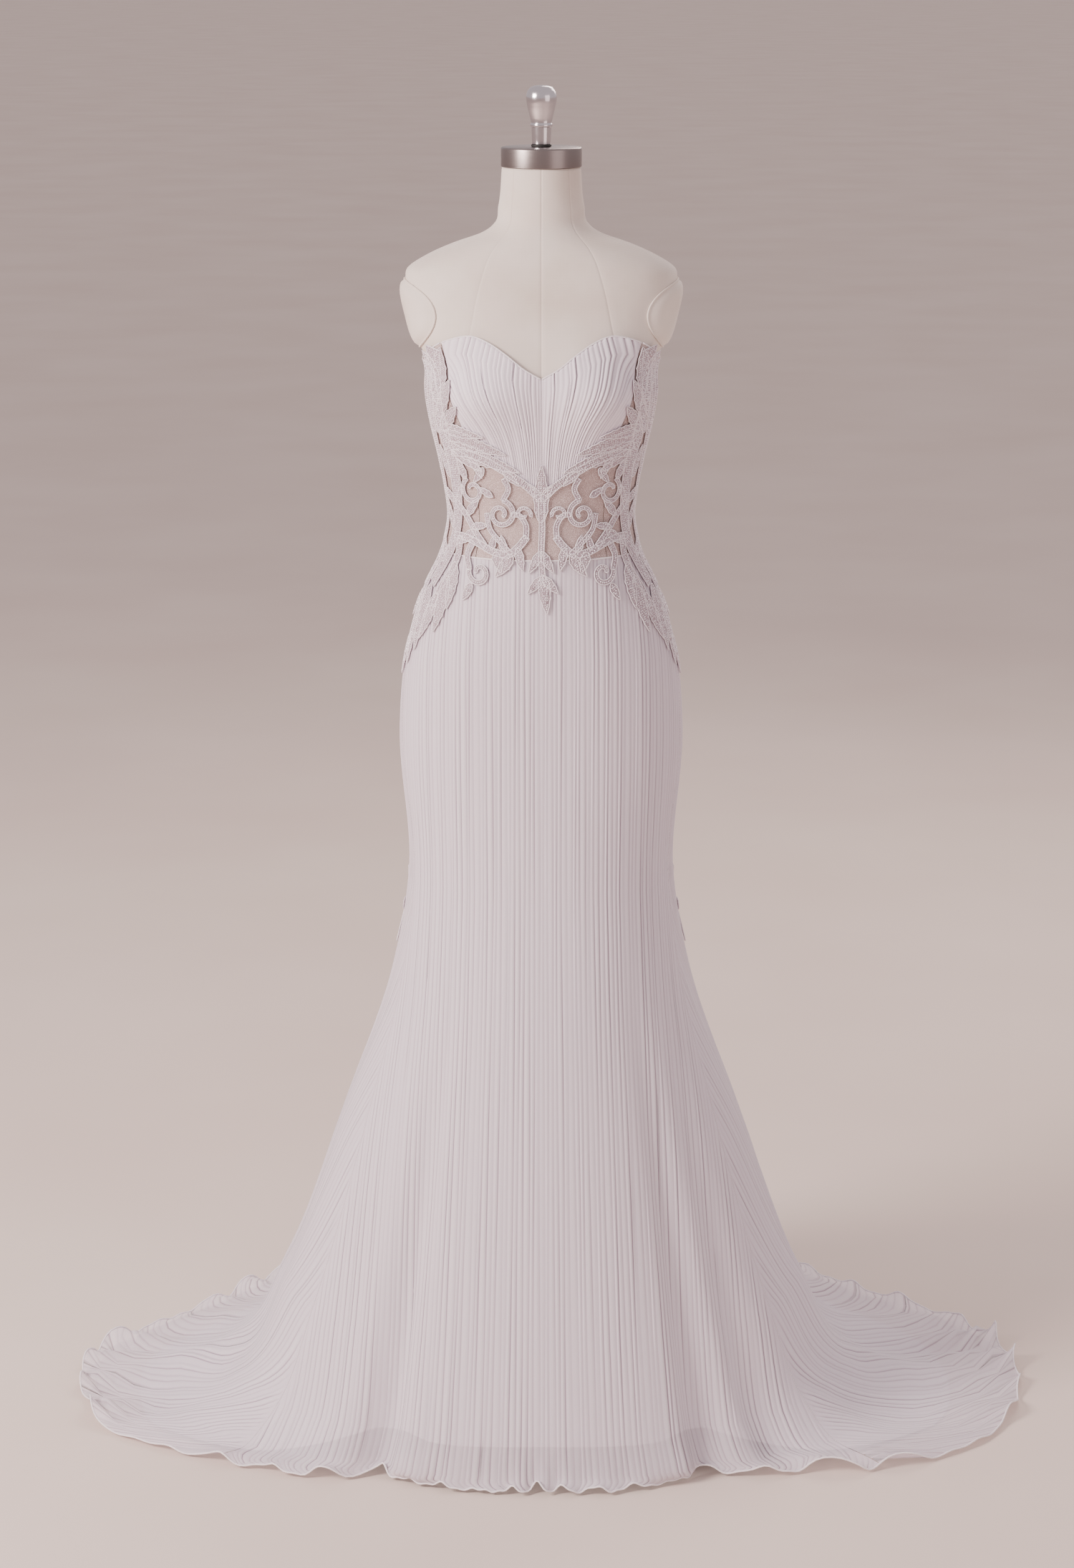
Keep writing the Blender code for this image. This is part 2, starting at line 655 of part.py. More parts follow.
def arm_plates(materials, parts):
    """Oval plates that close the form's armholes, just outside the padded sides."""
    outermost = outer_surface(["form_torso"], reach=0.014)
    for side, word in ((-1, "left"), (1, "right")):
        bm = bmesh.new()
        bmesh.ops.create_circle(bm, cap_ends=True, cap_tris=True, segments=16, radius=1.0)
        bmesh.ops.subdivide_edges(bm, edges=[e for e in bm.edges if not e.is_boundary], cuts=2)
        for vert in bm.verts:
            angle = side * (90.0 + 27.0 * vert.co.x)
            height = 1.4410 + 0.0410 * vert.co.y
            vert.co = outermost(angle, height, PLATE_CLEAR)
        sheet_object(f"form_arm_plate_{word}", bm, materials["linen"], parts, PLATE_THICKNESS, 1,
                     (0.0, 0.0, 1.43))


def hardware(materials, parts):
    """Neck cap, washer, finial, pole and base."""
    steel, alloy, black = materials["steel"], materials["aluminium"], materials["black"]
    top = CAP_BASE + CAP_HEIGHT
    edge = 0.0018
    turned("form_neck_cap", ((0, top), (CAP_RADIUS - edge, top), (CAP_RADIUS, top - edge), (CAP_RADIUS, CAP_BASE),
                             (0, CAP_BASE)), steel, parts, 28)
    washer_base = top + 0.0003
    turned("form_washer", ((0, washer_base + WASHER_HEIGHT), (WASHER_RADIUS - 0.0008, washer_base + WASHER_HEIGHT),
                           (WASHER_RADIUS, washer_base), (0, washer_base)), black, parts, 16)
    start = washer_base + WASHER_HEIGHT + 0.0003
    shares = ((0.0, 1.0), (0.0090, 0.985), (0.0150, 0.93), (0.0180, 0.85), (0.0186, 0.77), (0.0172, 0.64),
              (0.0143, 0.47), (0.0126, 0.345), (0.0133, 0.325), (0.0133, 0.305), (0.0121, 0.29), (0.0119, 0.20),
              (0.0113, 0.0), (0.0, 0.0))
    turned("form_finial", [(radius, start + FINIAL_HEIGHT * share) for radius, share in shares], alloy, parts, 14)
    form_low = FORM_SECTIONS[-1][0]
    turned("stand_pole", ((0, form_low - 0.0003), (POLE_RADIUS, form_low - 0.0003), (POLE_RADIUS, BASE_HEIGHT + 0.0003),
                          (0, BASE_HEIGHT + 0.0003)), steel, parts, 20)
    turned("stand_base", ((0, BASE_HEIGHT), (BASE_RADIUS - 0.004, BASE_HEIGHT), (BASE_RADIUS, BASE_HEIGHT - 0.004),
                          (BASE_RADIUS, 0), (0, 0)), steel, parts, 28)


def leaf(root_x, root_y, heading, length, width, curl=0.0):
    """Outline of a pointed leaf, from its root towards its tip; curl bends it sideways."""
    turn = math.radians(heading)
    outline = []
    for side in (1, -1):
        shares = (0.0, 0.34, 0.72, 1.0) if side > 0 else (0.72, 0.34)
        for share in shares:
            half = width / 2 * math.sin(math.pi * share**0.8) * (1.0 if share < 1.0 else 0.0)
            off = side * half + curl * length * share**2
            along = length * share
            outline.append((root_x + along * math.cos(turn) - off * math.sin(turn),
                            root_y + along * math.sin(turn) + off * math.cos(turn)))
    return outline


def vine(points, width, tip=0.6):
    """Outline of a ribbon along a smooth curve through the points, narrowing towards its end."""
    knots = np.array(points, float)
    steps = np.concatenate([[0.0], np.cumsum(np.linalg.norm(np.diff(knots, axis=0), axis=1))])
    rows = [(step, *knot) for step, knot in zip(steps, knots)]
    count = max(2, int(steps[-1] / 0.017))
    at = np.linspace(0.0, steps[-1], count + 1)
    curve = smooth_columns(rows, at)
    return ribbon(curve, np.linspace(width, width * tip, count + 1))


def ribbon(curve, widths):
    """Outline of a ribbon with the given widths along a run of points."""
    ahead = np.gradient(curve, axis=0)
    ahead /= np.linalg.norm(ahead, axis=1, keepdims=True)
    across = np.stack([-ahead[:, 1], ahead[:, 0]], axis=1) * (np.asarray(widths) / 2)[:, None]
    return [tuple(p) for p in curve + across] + [tuple(p) for p in (curve - across)[::-1]]


def scroll(centre_x, centre_y, outer, inner, start, turns, width):
    """Outline of a ribbon that winds in from the outer to the inner radius; turns may be negative."""
    count = max(7, int(abs(turns) * 9))
    share = np.linspace(0.0, 1.0, count + 1)
    turn = np.radians(start) + 2 * math.pi * turns * share
    radius = outer + (inner - outer) * share
    curve = np.stack([centre_x + radius * np.cos(turn), centre_y + radius * np.sin(turn)], axis=1)
    return ribbon(curve, width * (1.0 - 0.25 * share))


def side_motif():
    """Lace of one side, from the bust round to the hip: outlines in arc length and height."""
    return [
        # side of the bust, from the top edge down
        vine([(0.150, 1.392), (0.152, 1.360), (0.147, 1.330), (0.133, 1.300), (0.122, 1.270), (0.117, 1.240),
              (0.116, 1.205), (0.122, 1.170), (0.138, 1.140), (0.158, 1.110)], 0.020, 0.7),
        vine([(0.166, 1.385), (0.168, 1.350), (0.163, 1.310), (0.155, 1.265), (0.150, 1.215), (0.154, 1.170),
              (0.172, 1.120), (0.190, 1.070), (0.204, 1.020)], 0.011, 0.7),
        leaf(0.158, 1.330, 96, 0.060, 0.020),
        leaf(0.138, 1.145, 25, 0.045, 0.014),
        # sprays under the bust
        leaf(0.139, 1.312, 166, 0.058, 0.015, -0.10),
        leaf(0.132, 1.298, 176, 0.072, 0.015, -0.16),
        leaf(0.124, 1.280, 178, 0.088, 0.017, -0.20),
        # the ribbon along the V edge
        vine([(0.121, 1.272), (0.098, 1.272), (0.072, 1.262), (0.046, 1.249), (0.028, 1.240), (0.0185, 1.233)],
             0.008, 0.9),
        # scrolls of the waist
        scroll(0.050, 1.205, 0.018, 0.005, 100, 1.35, 0.006),
        vine([(0.046, 1.250), (0.040, 1.238), (0.047, 1.222)], 0.007, 0.9),
        vine([(0.068, 1.205), (0.064, 1.186), (0.050, 1.170), (0.036, 1.156)], 0.007, 0.9),
        scroll(0.088, 1.232, 0.017, 0.006, 60, -1.1, 0.006),
        vine([(0.104, 1.236), (0.112, 1.222), (0.118, 1.205)], 0.007, 1.0),
        vine([(0.117, 1.215), (0.100, 1.200), (0.084, 1.180), (0.070, 1.164)], 0.008, 0.9),
        leaf(0.084, 1.182, -35, 0.034, 0.011),
        # the row of curls over the skirt seam
        vine([(0.0175, 1.178), (0.026, 1.167), (0.040, 1.156), (0.058, 1.158), (0.078, 1.166), (0.100, 1.172),
              (0.122, 1.172)], 0.008, 1.0),
        vine([(0.0185, 1.176), (0.019, 1.194), (0.028, 1.205), (0.036, 1.205)], 0.006, 0.9),
        leaf(0.036, 1.156, -62, 0.034, 0.013, 0.15),
        vine([(0.088, 1.168), (0.096, 1.150), (0.092, 1.134)], 0.008, 0.9),
        scroll(0.078, 1.132, 0.015, 0.004, 10, -1.05, 0.0065),
        vine([(0.110, 1.172), (0.112, 1.150), (0.122, 1.128), (0.140, 1.104), (0.150, 1.080)], 0.010, 0.6),
        # hip sprays
        leaf(0.126, 1.122, -80, 0.070, 0.017, 0.08),
        leaf(0.142, 1.100, -66, 0.066, 0.015, 0.05),
        leaf(0.160, 1.108, -74, 0.084, 0.018, -0.04),
        leaf(0.184, 1.085, -80, 0.080, 0.016),
    ]


def centre_motif():
    """The leaf and drop at the centre front."""
    return [
        leaf(0.0, 1.200, 90, 0.068, 0.013),
        leaf(0.0, 1.222, 64, 0.024, 0.007),
        leaf(0.0, 1.222, 116, 0.024, 0.007),
        vine([(0.0, 1.226), (0.001, 1.190), (0.0, 1.150), (0.003, 1.120)], 0.007, 0.9),
        leaf(0.0, 1.160, -60, 0.030, 0.010),
        leaf(0.0, 1.160, -120, 0.030, 0.010),
        leaf(0.002, 1.132, -84, 0.046, 0.012),
        leaf(0.002, 1.130, -48, 0.028, 0.009),
        leaf(0.002, 1.130, -132, 0.028, 0.009),
    ]


def knee_motif():
    """A climbing spray on the side back of the knee: outlines in arc length and height."""
    return [
        vine([(0.300, 0.765), (0.306, 0.730), (0.302, 0.690), (0.292, 0.655), (0.286, 0.630)], 0.010, 0.6),
        leaf(0.304, 0.740, 140, 0.046, 0.014),
        leaf(0.304, 0.740, 40, 0.046, 0.014),
        leaf(0.305, 0.705, 150, 0.050, 0.015),
        leaf(0.304, 0.705, 25, 0.050, 0.015),
        leaf(0.298, 0.672, 160, 0.040, 0.013),
        leaf(0.296, 0.668, 20, 0.044, 0.013),
    ]


def signed_area(outline):
    """Area of a flat outline, negative where it runs clockwise."""
    return sum(a[0] * b[1] - b[0] * a[1] for a, b in zip(outline, outline[1:] + outline[:1])) / 2


def part_pinched_points(bm):
    """Where two pieces of a flat sheet meet only in a point, draws them a little apart."""
    for vert in list(bm.verts):
        rim = [edge for edge in vert.link_edges if edge.is_boundary]
        if len(rim) <= 2:
            continue
        for piece in bmesh.utils.vert_separate(vert, rim):
            faces = piece.link_faces
            if faces:
                middle = sum((face.calc_center_median() for face in faces), Vector()) / len(faces)
                piece.co += (middle - piece.co).normalized() * 0.0004


def lace_sheet(name, outlines, place, material, parts, centre, step=0.020):
    """Lace whose flat outlines are joined, crossed by a grid so that it can bend, and laid on the cloth."""
    points, faces = [], []
    for outline in outlines:
        if signed_area(outline) < 0:
            outline = outline[::-1]
        faces.append(list(range(len(points), len(points) + len(outline))))
        points.extend(Vector(point) for point in outline)
    made = delaunay_2d_cdt(points, [], faces, 0, 1e-5, True)
    verts, triangles, sources = made[0], made[2], made[5]
    bm = bmesh.new()
    corners = [bm.verts.new((vert.x, vert.y, 0.0)) for vert in verts]
    for triangle, source in zip(triangles, sources):
        if source:
            bm.faces.new([corners[i] for i in triangle])
    bmesh.ops.delete(bm, geom=[vert for vert in bm.verts if not vert.link_faces], context="VERTS")
    bmesh.ops.dissolve_limit(bm, angle_limit=math.radians(1), verts=bm.verts, edges=bm.edges)
    low = [min(vert.co[axis] for vert in bm.verts) for axis in (0, 1)]
    high = [max(vert.co[axis] for vert in bm.verts) for axis in (0, 1)]
    for axis in (0, 1):
        line = math.floor(low[axis] / step) * step + step
        while line < high[axis]:
            spot = Vector((line, 0, 0)) if axis == 0 else Vector((0, line, 0))
            bmesh.ops.bisect_plane(
                bm, geom=list(bm.verts) + list(bm.edges) + list(bm.faces), dist=1e-5,
                plane_co=spot, plane_no=(1, 0, 0) if axis == 0 else (0, 1, 0))
            line += step
    bmesh.ops.triangulate(bm, faces=bm.faces)
    bmesh.ops.remove_doubles(bm, verts=bm.verts, dist=0.0008)
    part_pinched_points(bm)
    for vert in bm.verts:
        vert.co = place(vert.co.x, vert.co.y)
    return sheet_object(name, bm, material, parts, LACE_THICKNESS, 1, centre)


def outer_surface(names, reach=0.010):
    """Lays points on the named objects: each is moved out until it clears what stands up round it."""
    trees = []
    for name in names:
        bm = bmesh.new()
        bm.from_mesh(bpy.data.objects[name].data)
        trees.append(BVHTree.FromBMesh(bm))
        bm.free()

    def point(angle, height, clearance):
        base, across, up = (gown_ring(np.array([wrapped(angle + turn)]), height + rise)[0]
                            for turn, rise in ((0.0, 0.0), (1.0, 0.0), (0.0, 0.003)))
        across = Vector(across - base).normalized()
        up = Vector(up - base).normalized()
        normal = across.cross(up).normalized()
        if normal.x * base[0] + normal.y * base[1] < 0:
            normal.negate()
        base = Vector(base)
        highest = []
        for step in (-reach, -reach / 2, 0.0, reach / 2, reach):
            for rise in (-reach, -reach / 2, 0.0, reach / 2, reach):
                start = base + step * across + rise * up + 0.05 * normal
                for tree in trees:
                    distance = tree.ray_cast(start, -normal, 0.1)[3]
                    if distance is not None:
                        highest.append(0.05 - distance)
        return base + normal * (max(highest, default=0.0) + clearance)

    return point


def body_place(side, names):
    """Places a point by its arc length from the centre front and its height, just clear of the named cloth."""
    angles = np.arange(0.0, 181.0, 1.5)
    outermost = outer_surface(names)

    def place(arc, height):
        ring = gown_ring(angles, height)
        lengths = np.concatenate([[0.0], np.cumsum(np.linalg.norm(np.diff(ring, axis=0), axis=1))])
        angle = float(np.interp(abs(arc), lengths, angles))
        return outermost(side * math.copysign(angle, arc), height, LACE_CLEAR)

    return place


def gown_ring(angles, height):
    """The gown's surface at one height, above the calf: the form with its ease, then the skirt's stations."""
    if height >= BODY_STATIONS[-1]:
        return round_point(angles, body_radius(angles, height) + EASE, height)
    first = len(BODY_STATIONS) - 1
    levels = [BODY_STATIONS[-1]] + [row[1] for row in SKIRT_STATIONS]
    low = max(i for i, level in enumerate(levels) if level >= height)
    share = (levels[low] - height) / (levels[low] - levels[low + 1])
    upper, _ = ring_at(first + low, angles)
    lower, _ = ring_at(first + low + 1, angles)
    return upper * (1 - share) + lower * share


def lace(materials, parts):
    """Corded lace laid on the cloth, clear of the pleats' ridges."""
    cloth = [obj.name for obj in parts.objects if obj.name.startswith(("bodice", "waist", "skirt"))]
    for side, word in ((-1, "left"), (1, "right")):
        place = body_place(side, cloth)
        lace_sheet(f"lace_side_{word}", side_motif(), place, materials["lace"], parts, (0, 0, 1.2))
        lace_sheet(f"lace_knee_{word}", knee_motif(), place, materials["lace"], parts, (0, 0, 0.7))
    lace_sheet("lace_centre", centre_motif(), body_place(1, cloth), materials["lace"], parts, (0, 0, 1.2))


def build():
    clear_scene()
    parts = bpy.data.collections.new(GOWN)
    bpy.context.scene.collection.children.link(parts)
    materials = {
        "chiffon": make_material("pleated_polyester_chiffon", "#EFE9EE", 0.60),
        "mesh": make_material("nylon_illusion_mesh", "#D9C6C4", 0.75),
        "satin": make_material("slip_satin", "#EDE6EA", 0.45),
        "lace": make_material("corded_beaded_lace", "#E6D8DC", 0.50),
        "linen": make_material("linen_canvas", "#DDCFC6", 0.85),
        "steel": make_material("brushed_stainless_steel", "#A8A2A2", 0.32, 1.0),
        "aluminium": make_material("polished_aluminium", "#D0CED2", 0.22, 1.0),
        "black": make_material("black_rubber", "#1B1A1A", 0.60),
    }
    torso(materials, parts)
    arm_plates(materials, parts)
    hardware(materials, parts)
    bodice_panels(materials, parts)
    placket(materials, parts)
    skirt_panels(materials, parts)
    slip_panels(materials, parts)
    lace(materials, parts)


build()
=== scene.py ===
"""Looks of a strapless mermaid gown of pleated chiffon with corded lace, on its limbless dress form.

Metres, +Z up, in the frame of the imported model. Angles round the figure run from 0 at the centre front,
through +90 degrees at +X, to 180 at the centre back.
"""

import math

import bmesh
import bpy
import numpy as np
from mathutils import Matrix, Vector
from mathutils.geometry import delaunay_2d_cdt


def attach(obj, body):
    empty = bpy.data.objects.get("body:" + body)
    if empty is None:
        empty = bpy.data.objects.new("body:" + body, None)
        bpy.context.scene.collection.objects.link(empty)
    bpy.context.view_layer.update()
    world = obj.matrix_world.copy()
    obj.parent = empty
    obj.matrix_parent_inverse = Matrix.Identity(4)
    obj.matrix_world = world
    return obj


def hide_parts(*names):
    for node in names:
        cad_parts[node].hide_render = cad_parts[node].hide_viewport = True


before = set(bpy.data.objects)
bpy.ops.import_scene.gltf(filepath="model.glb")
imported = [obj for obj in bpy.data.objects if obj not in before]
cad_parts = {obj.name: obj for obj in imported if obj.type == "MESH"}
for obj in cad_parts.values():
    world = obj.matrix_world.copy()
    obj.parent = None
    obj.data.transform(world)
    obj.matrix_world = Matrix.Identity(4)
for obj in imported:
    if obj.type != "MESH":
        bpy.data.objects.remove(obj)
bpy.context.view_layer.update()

EASE = 0.0048
SLIP_DROP = 0.0050
SLIP_HIP_DROP = 0.0026

# The padded form: height, half width, depth to the front, depth to the back, squareness of the section.
FORM_SECTIONS = (
    (1.6170, 0.0480, 0.0470, 0.0480, 2.0),
    (1.5700, 0.0525, 0.0498, 0.0550, 2.0),
    (1.5480, 0.0585, 0.0535, 0.0640, 2.0),
    (1.5370, 0.0740, 0.0600, 0.0740, 2.0),
    (1.5250, 0.1085, 0.0670, 0.0820, 2.1),
    (1.5070, 0.1475, 0.0750, 0.0890, 2.2),
    (1.4960, 0.1635, 0.0785, 0.0915, 2.2),
    (1.4820, 0.1666, 0.0830, 0.0940, 2.3),
    (1.4372, 0.1605, 0.0970, 0.1000, 2.3),
    (1.4020, 0.1495, 0.1080, 0.1020, 2.3),
    (1.3850, 0.1405, 0.1110, 0.1020, 2.3),
    (1.3490, 0.1398, 0.1120, 0.1010, 2.2),
    (1.3140, 0.1322, 0.1060, 0.0985, 2.2),
    (1.2600, 0.1197, 0.0970, 0.0925, 2.1),
    (1.2240, 0.1128, 0.0920, 0.0880, 2.1),
    (1.1880, 0.1095, 0.0905, 0.0865, 2.1),
    (1.1490, 0.1180, 0.0955, 0.0930, 2.1),
    (1.0980, 0.1420, 0.1035, 0.1060, 2.1),
    (1.0240, 0.1632, 0.1100, 0.1220, 2.2),
    (0.9300, 0.1732, 0.1120, 0.1300, 2.2),
    (0.8200, 0.1680, 0.1120, 0.1200, 2.2),
)
BUST_RISE = 0.019
BUST_ANGLE = 33.0
BUST_SPREAD = 21.0
BUST_HEIGHT = 1.350
BUST_REACH = 0.044

# The gown's edges: angle from the centre front, height.
NECKLINE = (
    (0.0, 1.3730),
    (10.0, 1.3850),
    (20.0, 1.4010),
    (31.0, 1.4150),
    (42.0, 1.4225),
    (54.0, 1.4160),
    (68.0, 1.3990),
    (90.0, 1.3800),
    (120.0, 1.3500),
    (150.0, 1.3330),
    (180.0, 1.3280),
)
FRONT_V = ((0.0, 1.2300), (8.0, 1.2400), (24.0, 1.2580), (46.0, 1.2860))
CUP_EDGE_TOP = 57.0
CUP_EDGE_LOW = 46.0
SIDE_BACK = 104.0
WAIST_SEAM = 1.1490

# Skirt stations below the hip: height and radius at the front, the side and the back, then squareness.
SKIRT_STATIONS = (
    (0.730, 0.730, 0.730, 0.1330, 0.1686, 0.1560, 2.2),
    (0.600, 0.600, 0.600, 0.1600, 0.1915, 0.2050, 2.1),
    (0.400, 0.405, 0.410, 0.2035, 0.2590, 0.2850, 2.0),
    (0.180, 0.185, 0.195, 0.2510, 0.3430, 0.3900, 2.0),
    (0.060, 0.062, 0.070, 0.2770, 0.4130, 0.4750, 2.0),
    (0.021, 0.016, 0.018, 0.2860, 0.4900, 0.5500, 2.0),
)
BODY_STATIONS = (WAIST_SEAM, 1.098, 1.024, 0.930)
HEM_TOP = 0.0034

# The hem's reach on the floor: angle from the centre front, radius on the left, radius on the right.
HEM_REACH = (
    (0.0, 0.2910, 0.2910),
    (20.0, 0.3030, 0.3060),
    (38.0, 0.3250, 0.3200),
    (50.0, 0.3880, 0.3800),
    (60.0, 0.4350, 0.4600),
    (70.0, 0.5000, 0.5450),
    (80.0, 0.5780, 0.6050),
    (90.0, 0.6080, 0.6350),
    (102.0, 0.6250, 0.6530),
    (113.0, 0.5880, 0.6340),
    (125.0, 0.5600, 0.5900),
    (145.0, 0.5750, 0.5850),
    (165.0, 0.6100, 0.6130),
    (180.0, 0.6250, 0.6250),
)

# The side seam of the skirt: its angle at each station, from the waist down to the hem.
SIDE_SEAM = (84.0, 84.0, 83.5, 81.0, 74.0, 70.5, 67.0, 66.0, 65.0, 64.0, 63.0)

# Deep folds of the skirt: angle, depth at the hem, half width in degrees, height where the fold starts.
FOLDS = (
    (-41.0, 0.034, 5.0, 0.62),
    (-56.0, 0.010, 6.0, 0.40),
    (-88.0, 0.014, 7.0, 0.36),
    (-122.0, 0.030, 8.0, 0.50),
    (-150.0, 0.024, 8.0, 0.50),
    (42.0, 0.032, 4.6, 0.62),
    (55.0, 0.022, 4.6, 0.58),
    (78.0, 0.012, 6.0, 0.40),
    (100.0, 0.014, 7.0, 0.36),
    (126.0, 0.030, 8.0, 0.50),
    (152.0, 0.024, 8.0, 0.50),
)

# Long ridges where the train lies on the floor: angle, height, half width in degrees, share of the height.
TRAIN_RIDGES = (
    (-72.0, 0.010, 6.0, 1.0),
    (-97.0, 0.020, 5.0, 1.0),
    (-118.0, 0.014, 6.0, 1.0),
    (-140.0, 0.018, 6.0, 1.0),
    (-163.0, 0.012, 6.0, 1.0),
    (68.0, 0.011, 6.0, 1.0),
    (94.0, 0.021, 5.0, 1.0),
    (113.0, 0.012, 6.0, 1.0),
    (136.0, 0.018, 6.0, 1.0),
    (160.0, 0.013, 6.0, 1.0),
)
HEM_WAVES = 44
HEM_WAVE_HEIGHT = 0.013
TRAIN_WAVE_HEIGHT = 0.027
HEM_FLUTTER = 0.0050

# Crinkle pleats: their spacing along the cloth at each station, from the waist down to the hem.
FRONT_PITCH = (0.0057, 0.0057, 0.0058, 0.0058, 0.0058, 0.0060, 0.0064, 0.0069, 0.0073, 0.0077, 0.0086)
BACK_PITCH = (0.0058, 0.0059, 0.0060, 0.0062, 0.0066, 0.0071, 0.0082, 0.0096, 0.0108, 0.0118, 0.0132)
PLEAT_RELIEF = 0.0010
COLUMNS_A_PLEAT = 4
ROW_STEP = 0.012
CUP_PLEATS = 21
CUP_LEVELS = 40
CUP_GATHER = 0.40
CUP_RELIEF = 0.0014
CUP_START = 0.12
SIDE_LOW_SHARE = 0.3
SIDE_SEAM_ROOM = 0.0004
CENTRE_SEAM_ROOM = 0.0003
BUTTONS = 10
BEAD_STEP = 0.0027

# Where the slip ends: angle, and its place between the skirt's stations (the hem is the last station).
SLIP_END = (
    (0.0, 8.05),
    (45.0, 8.15),
    (62.0, 9.06),
    (80.0, 9.45),
    (110.0, 9.50),
    (150.0, 9.30),
    (180.0, 9.30),
)

RING_ANGLES = np.linspace(-180.0, 180.0, 1081)


def smooth_columns(rows, at):
    """Columns of a table at the given keys, on smooth curves; the table's first column is the key."""
    table = np.array(sorted(rows), float)
    return smooth_between(table[:, 0], table[:, 1:], np.atleast_1d(np.asarray(at, float)))


def smooth_between(keys, values, at):
    """Values at the given keys, on smooth curves through the rows of values."""
    slopes = np.gradient(values, keys, axis=0)
    at = np.clip(at, keys[0], keys[-1])
    low = np.clip(np.searchsorted(keys, at, side="right") - 1, 0, len(keys) - 2)
    shape = (-1,) + (1,) * (values.ndim - 1)
    span = (keys[low + 1] - keys[low]).reshape(shape)
    t = (at - keys[low]).reshape(shape) / span
    rise = (2 * t**3 - 3 * t**2 + 1) * values[low] + (3 * t**2 - 2 * t**3) * values[low + 1]
    bend = (t**3 - 2 * t**2 + t) * span * slopes[low] + (t**3 - t**2) * span * slopes[low + 1]
    return rise + bend


def straight_column(rows, at):
    """The second column of a two-column table at the given keys, on straight lines."""
    return np.interp(at, [row[0] for row in rows], [row[1] for row in rows])


def section_radius(angles, side, front, back, squareness):
    """Radius of a squared ellipse at each angle, with its own depth to the front and to the back."""
    turn = np.radians(angles)
    depth = np.where(np.cos(turn) > 0, front, back)
    across = (np.abs(np.sin(turn)) / side) ** squareness
    along = (np.abs(np.cos(turn)) / depth) ** squareness
    return (across + along) ** (-1 / squareness)


def body_radius(angles, heights):
    """Radius of the padded form at each angle and height, with its two bust mounds."""
    angles, heights = np.broadcast_arrays(np.asarray(angles, float), np.asarray(heights, float))
    columns = smooth_columns(FORM_SECTIONS, heights.ravel()).T
    side, front, back, squareness = columns.reshape(4, *heights.shape)
    radius = section_radius(angles, side, front, back, squareness)
    apart = (np.abs(angles) - BUST_ANGLE) / BUST_SPREAD
    level = (heights - BUST_HEIGHT) / BUST_REACH
    return radius + BUST_RISE * np.exp(-apart**2 - level**2)


def round_point(angles, radius, heights):
    """Points at the given angles, radii and heights, as an array with x, y, z last."""
    turn = np.radians(angles)
    return np.stack(np.broadcast_arrays(radius * np.sin(turn), -radius * np.cos(turn), heights), axis=-1)


def body_point(angles, heights, clearance):
    return round_point(angles, body_radius(angles, heights) + clearance, heights)


def neckline(angles):
    return smooth_columns(NECKLINE, np.abs(np.asarray(angles, float)))[:, 0]


def wrapped(angles):
    """Angles brought into the range from -180 to 180 degrees."""
    return (np.asarray(angles, float) + 180.0) % 360.0 - 180.0


def bumps(angles, table, height):
    """Sum of a table's soft bumps at each angle; a row holds angle, size, half width and start."""
    total = np.zeros(np.shape(angles))
    for centre, size, spread, start in table:
        grown = np.clip((start - height) / start, 0.0, 1.0)
        total = total + size * grown**1.3 * np.exp(-(wrapped(angles - centre) / spread) ** 2)
    return total


def hem_phase(angles):
    turn = np.radians(angles)
    return HEM_WAVES * turn + 1.3 * np.sin(3 * turn + 0.6) + 0.9 * np.sin(7 * turn)


def station_rings(angles, folds, ridges):
    """The skirt's outer surface at every station, with a level hem: station, angle and x, y, z."""
    rings = [body_point(angles, np.full_like(angles, height), EASE) for height in BODY_STATIONS]
    sideways = np.sin(np.radians(angles)) ** 2
    to_front = np.cos(np.radians(angles)) > 0
    for z_front, z_side, z_back, front, side, back, squareness in SKIRT_STATIONS:
        height = np.where(to_front, z_front, z_back) * (1 - sideways) + z_side * sideways
        radius = section_radius(angles, side, front, back, squareness) - bumps(angles, folds, z_side)
        on_floor = np.clip((0.09 - z_side) / 0.06, 0.0, 1.0)
        rings.append(round_point(angles, radius, height + on_floor * bumps(angles, ridges, 0.0)))
    left, right = smooth_columns(HEM_REACH, np.abs(angles)).T
    radius = np.where(angles < 0, left, right) - 0.6 * bumps(angles, folds, 0.0) * (np.abs(angles) < 60)
    rings.append(round_point(angles, radius, np.full_like(angles, HEM_TOP)))
    return np.array(rings)


def surface_rows(rings, rows):
    """Smooth rings at the given rows, which count stations from the waist with a fraction between them."""
    lengths = np.linalg.norm(np.diff(rings, axis=0), axis=2).mean(axis=1)
    keys = np.concatenate([[0.0], np.cumsum(lengths)])
    at = np.interp(rows, np.arange(len(keys)), keys)
    smooth = smooth_between(keys, rings, at)
    last_body = len(BODY_STATIONS) - 1
    for index, row in enumerate(rows):
        if row <= last_body:
            height = np.interp(row, np.arange(last_body + 1), BODY_STATIONS)
            smooth[index] = body_point(RING_ANGLES, np.full_like(RING_ANGLES, height), EASE)
    smooth[:, :, 2] = np.maximum(smooth[:, :, 2], HEM_TOP - 0.0004)
    return smooth


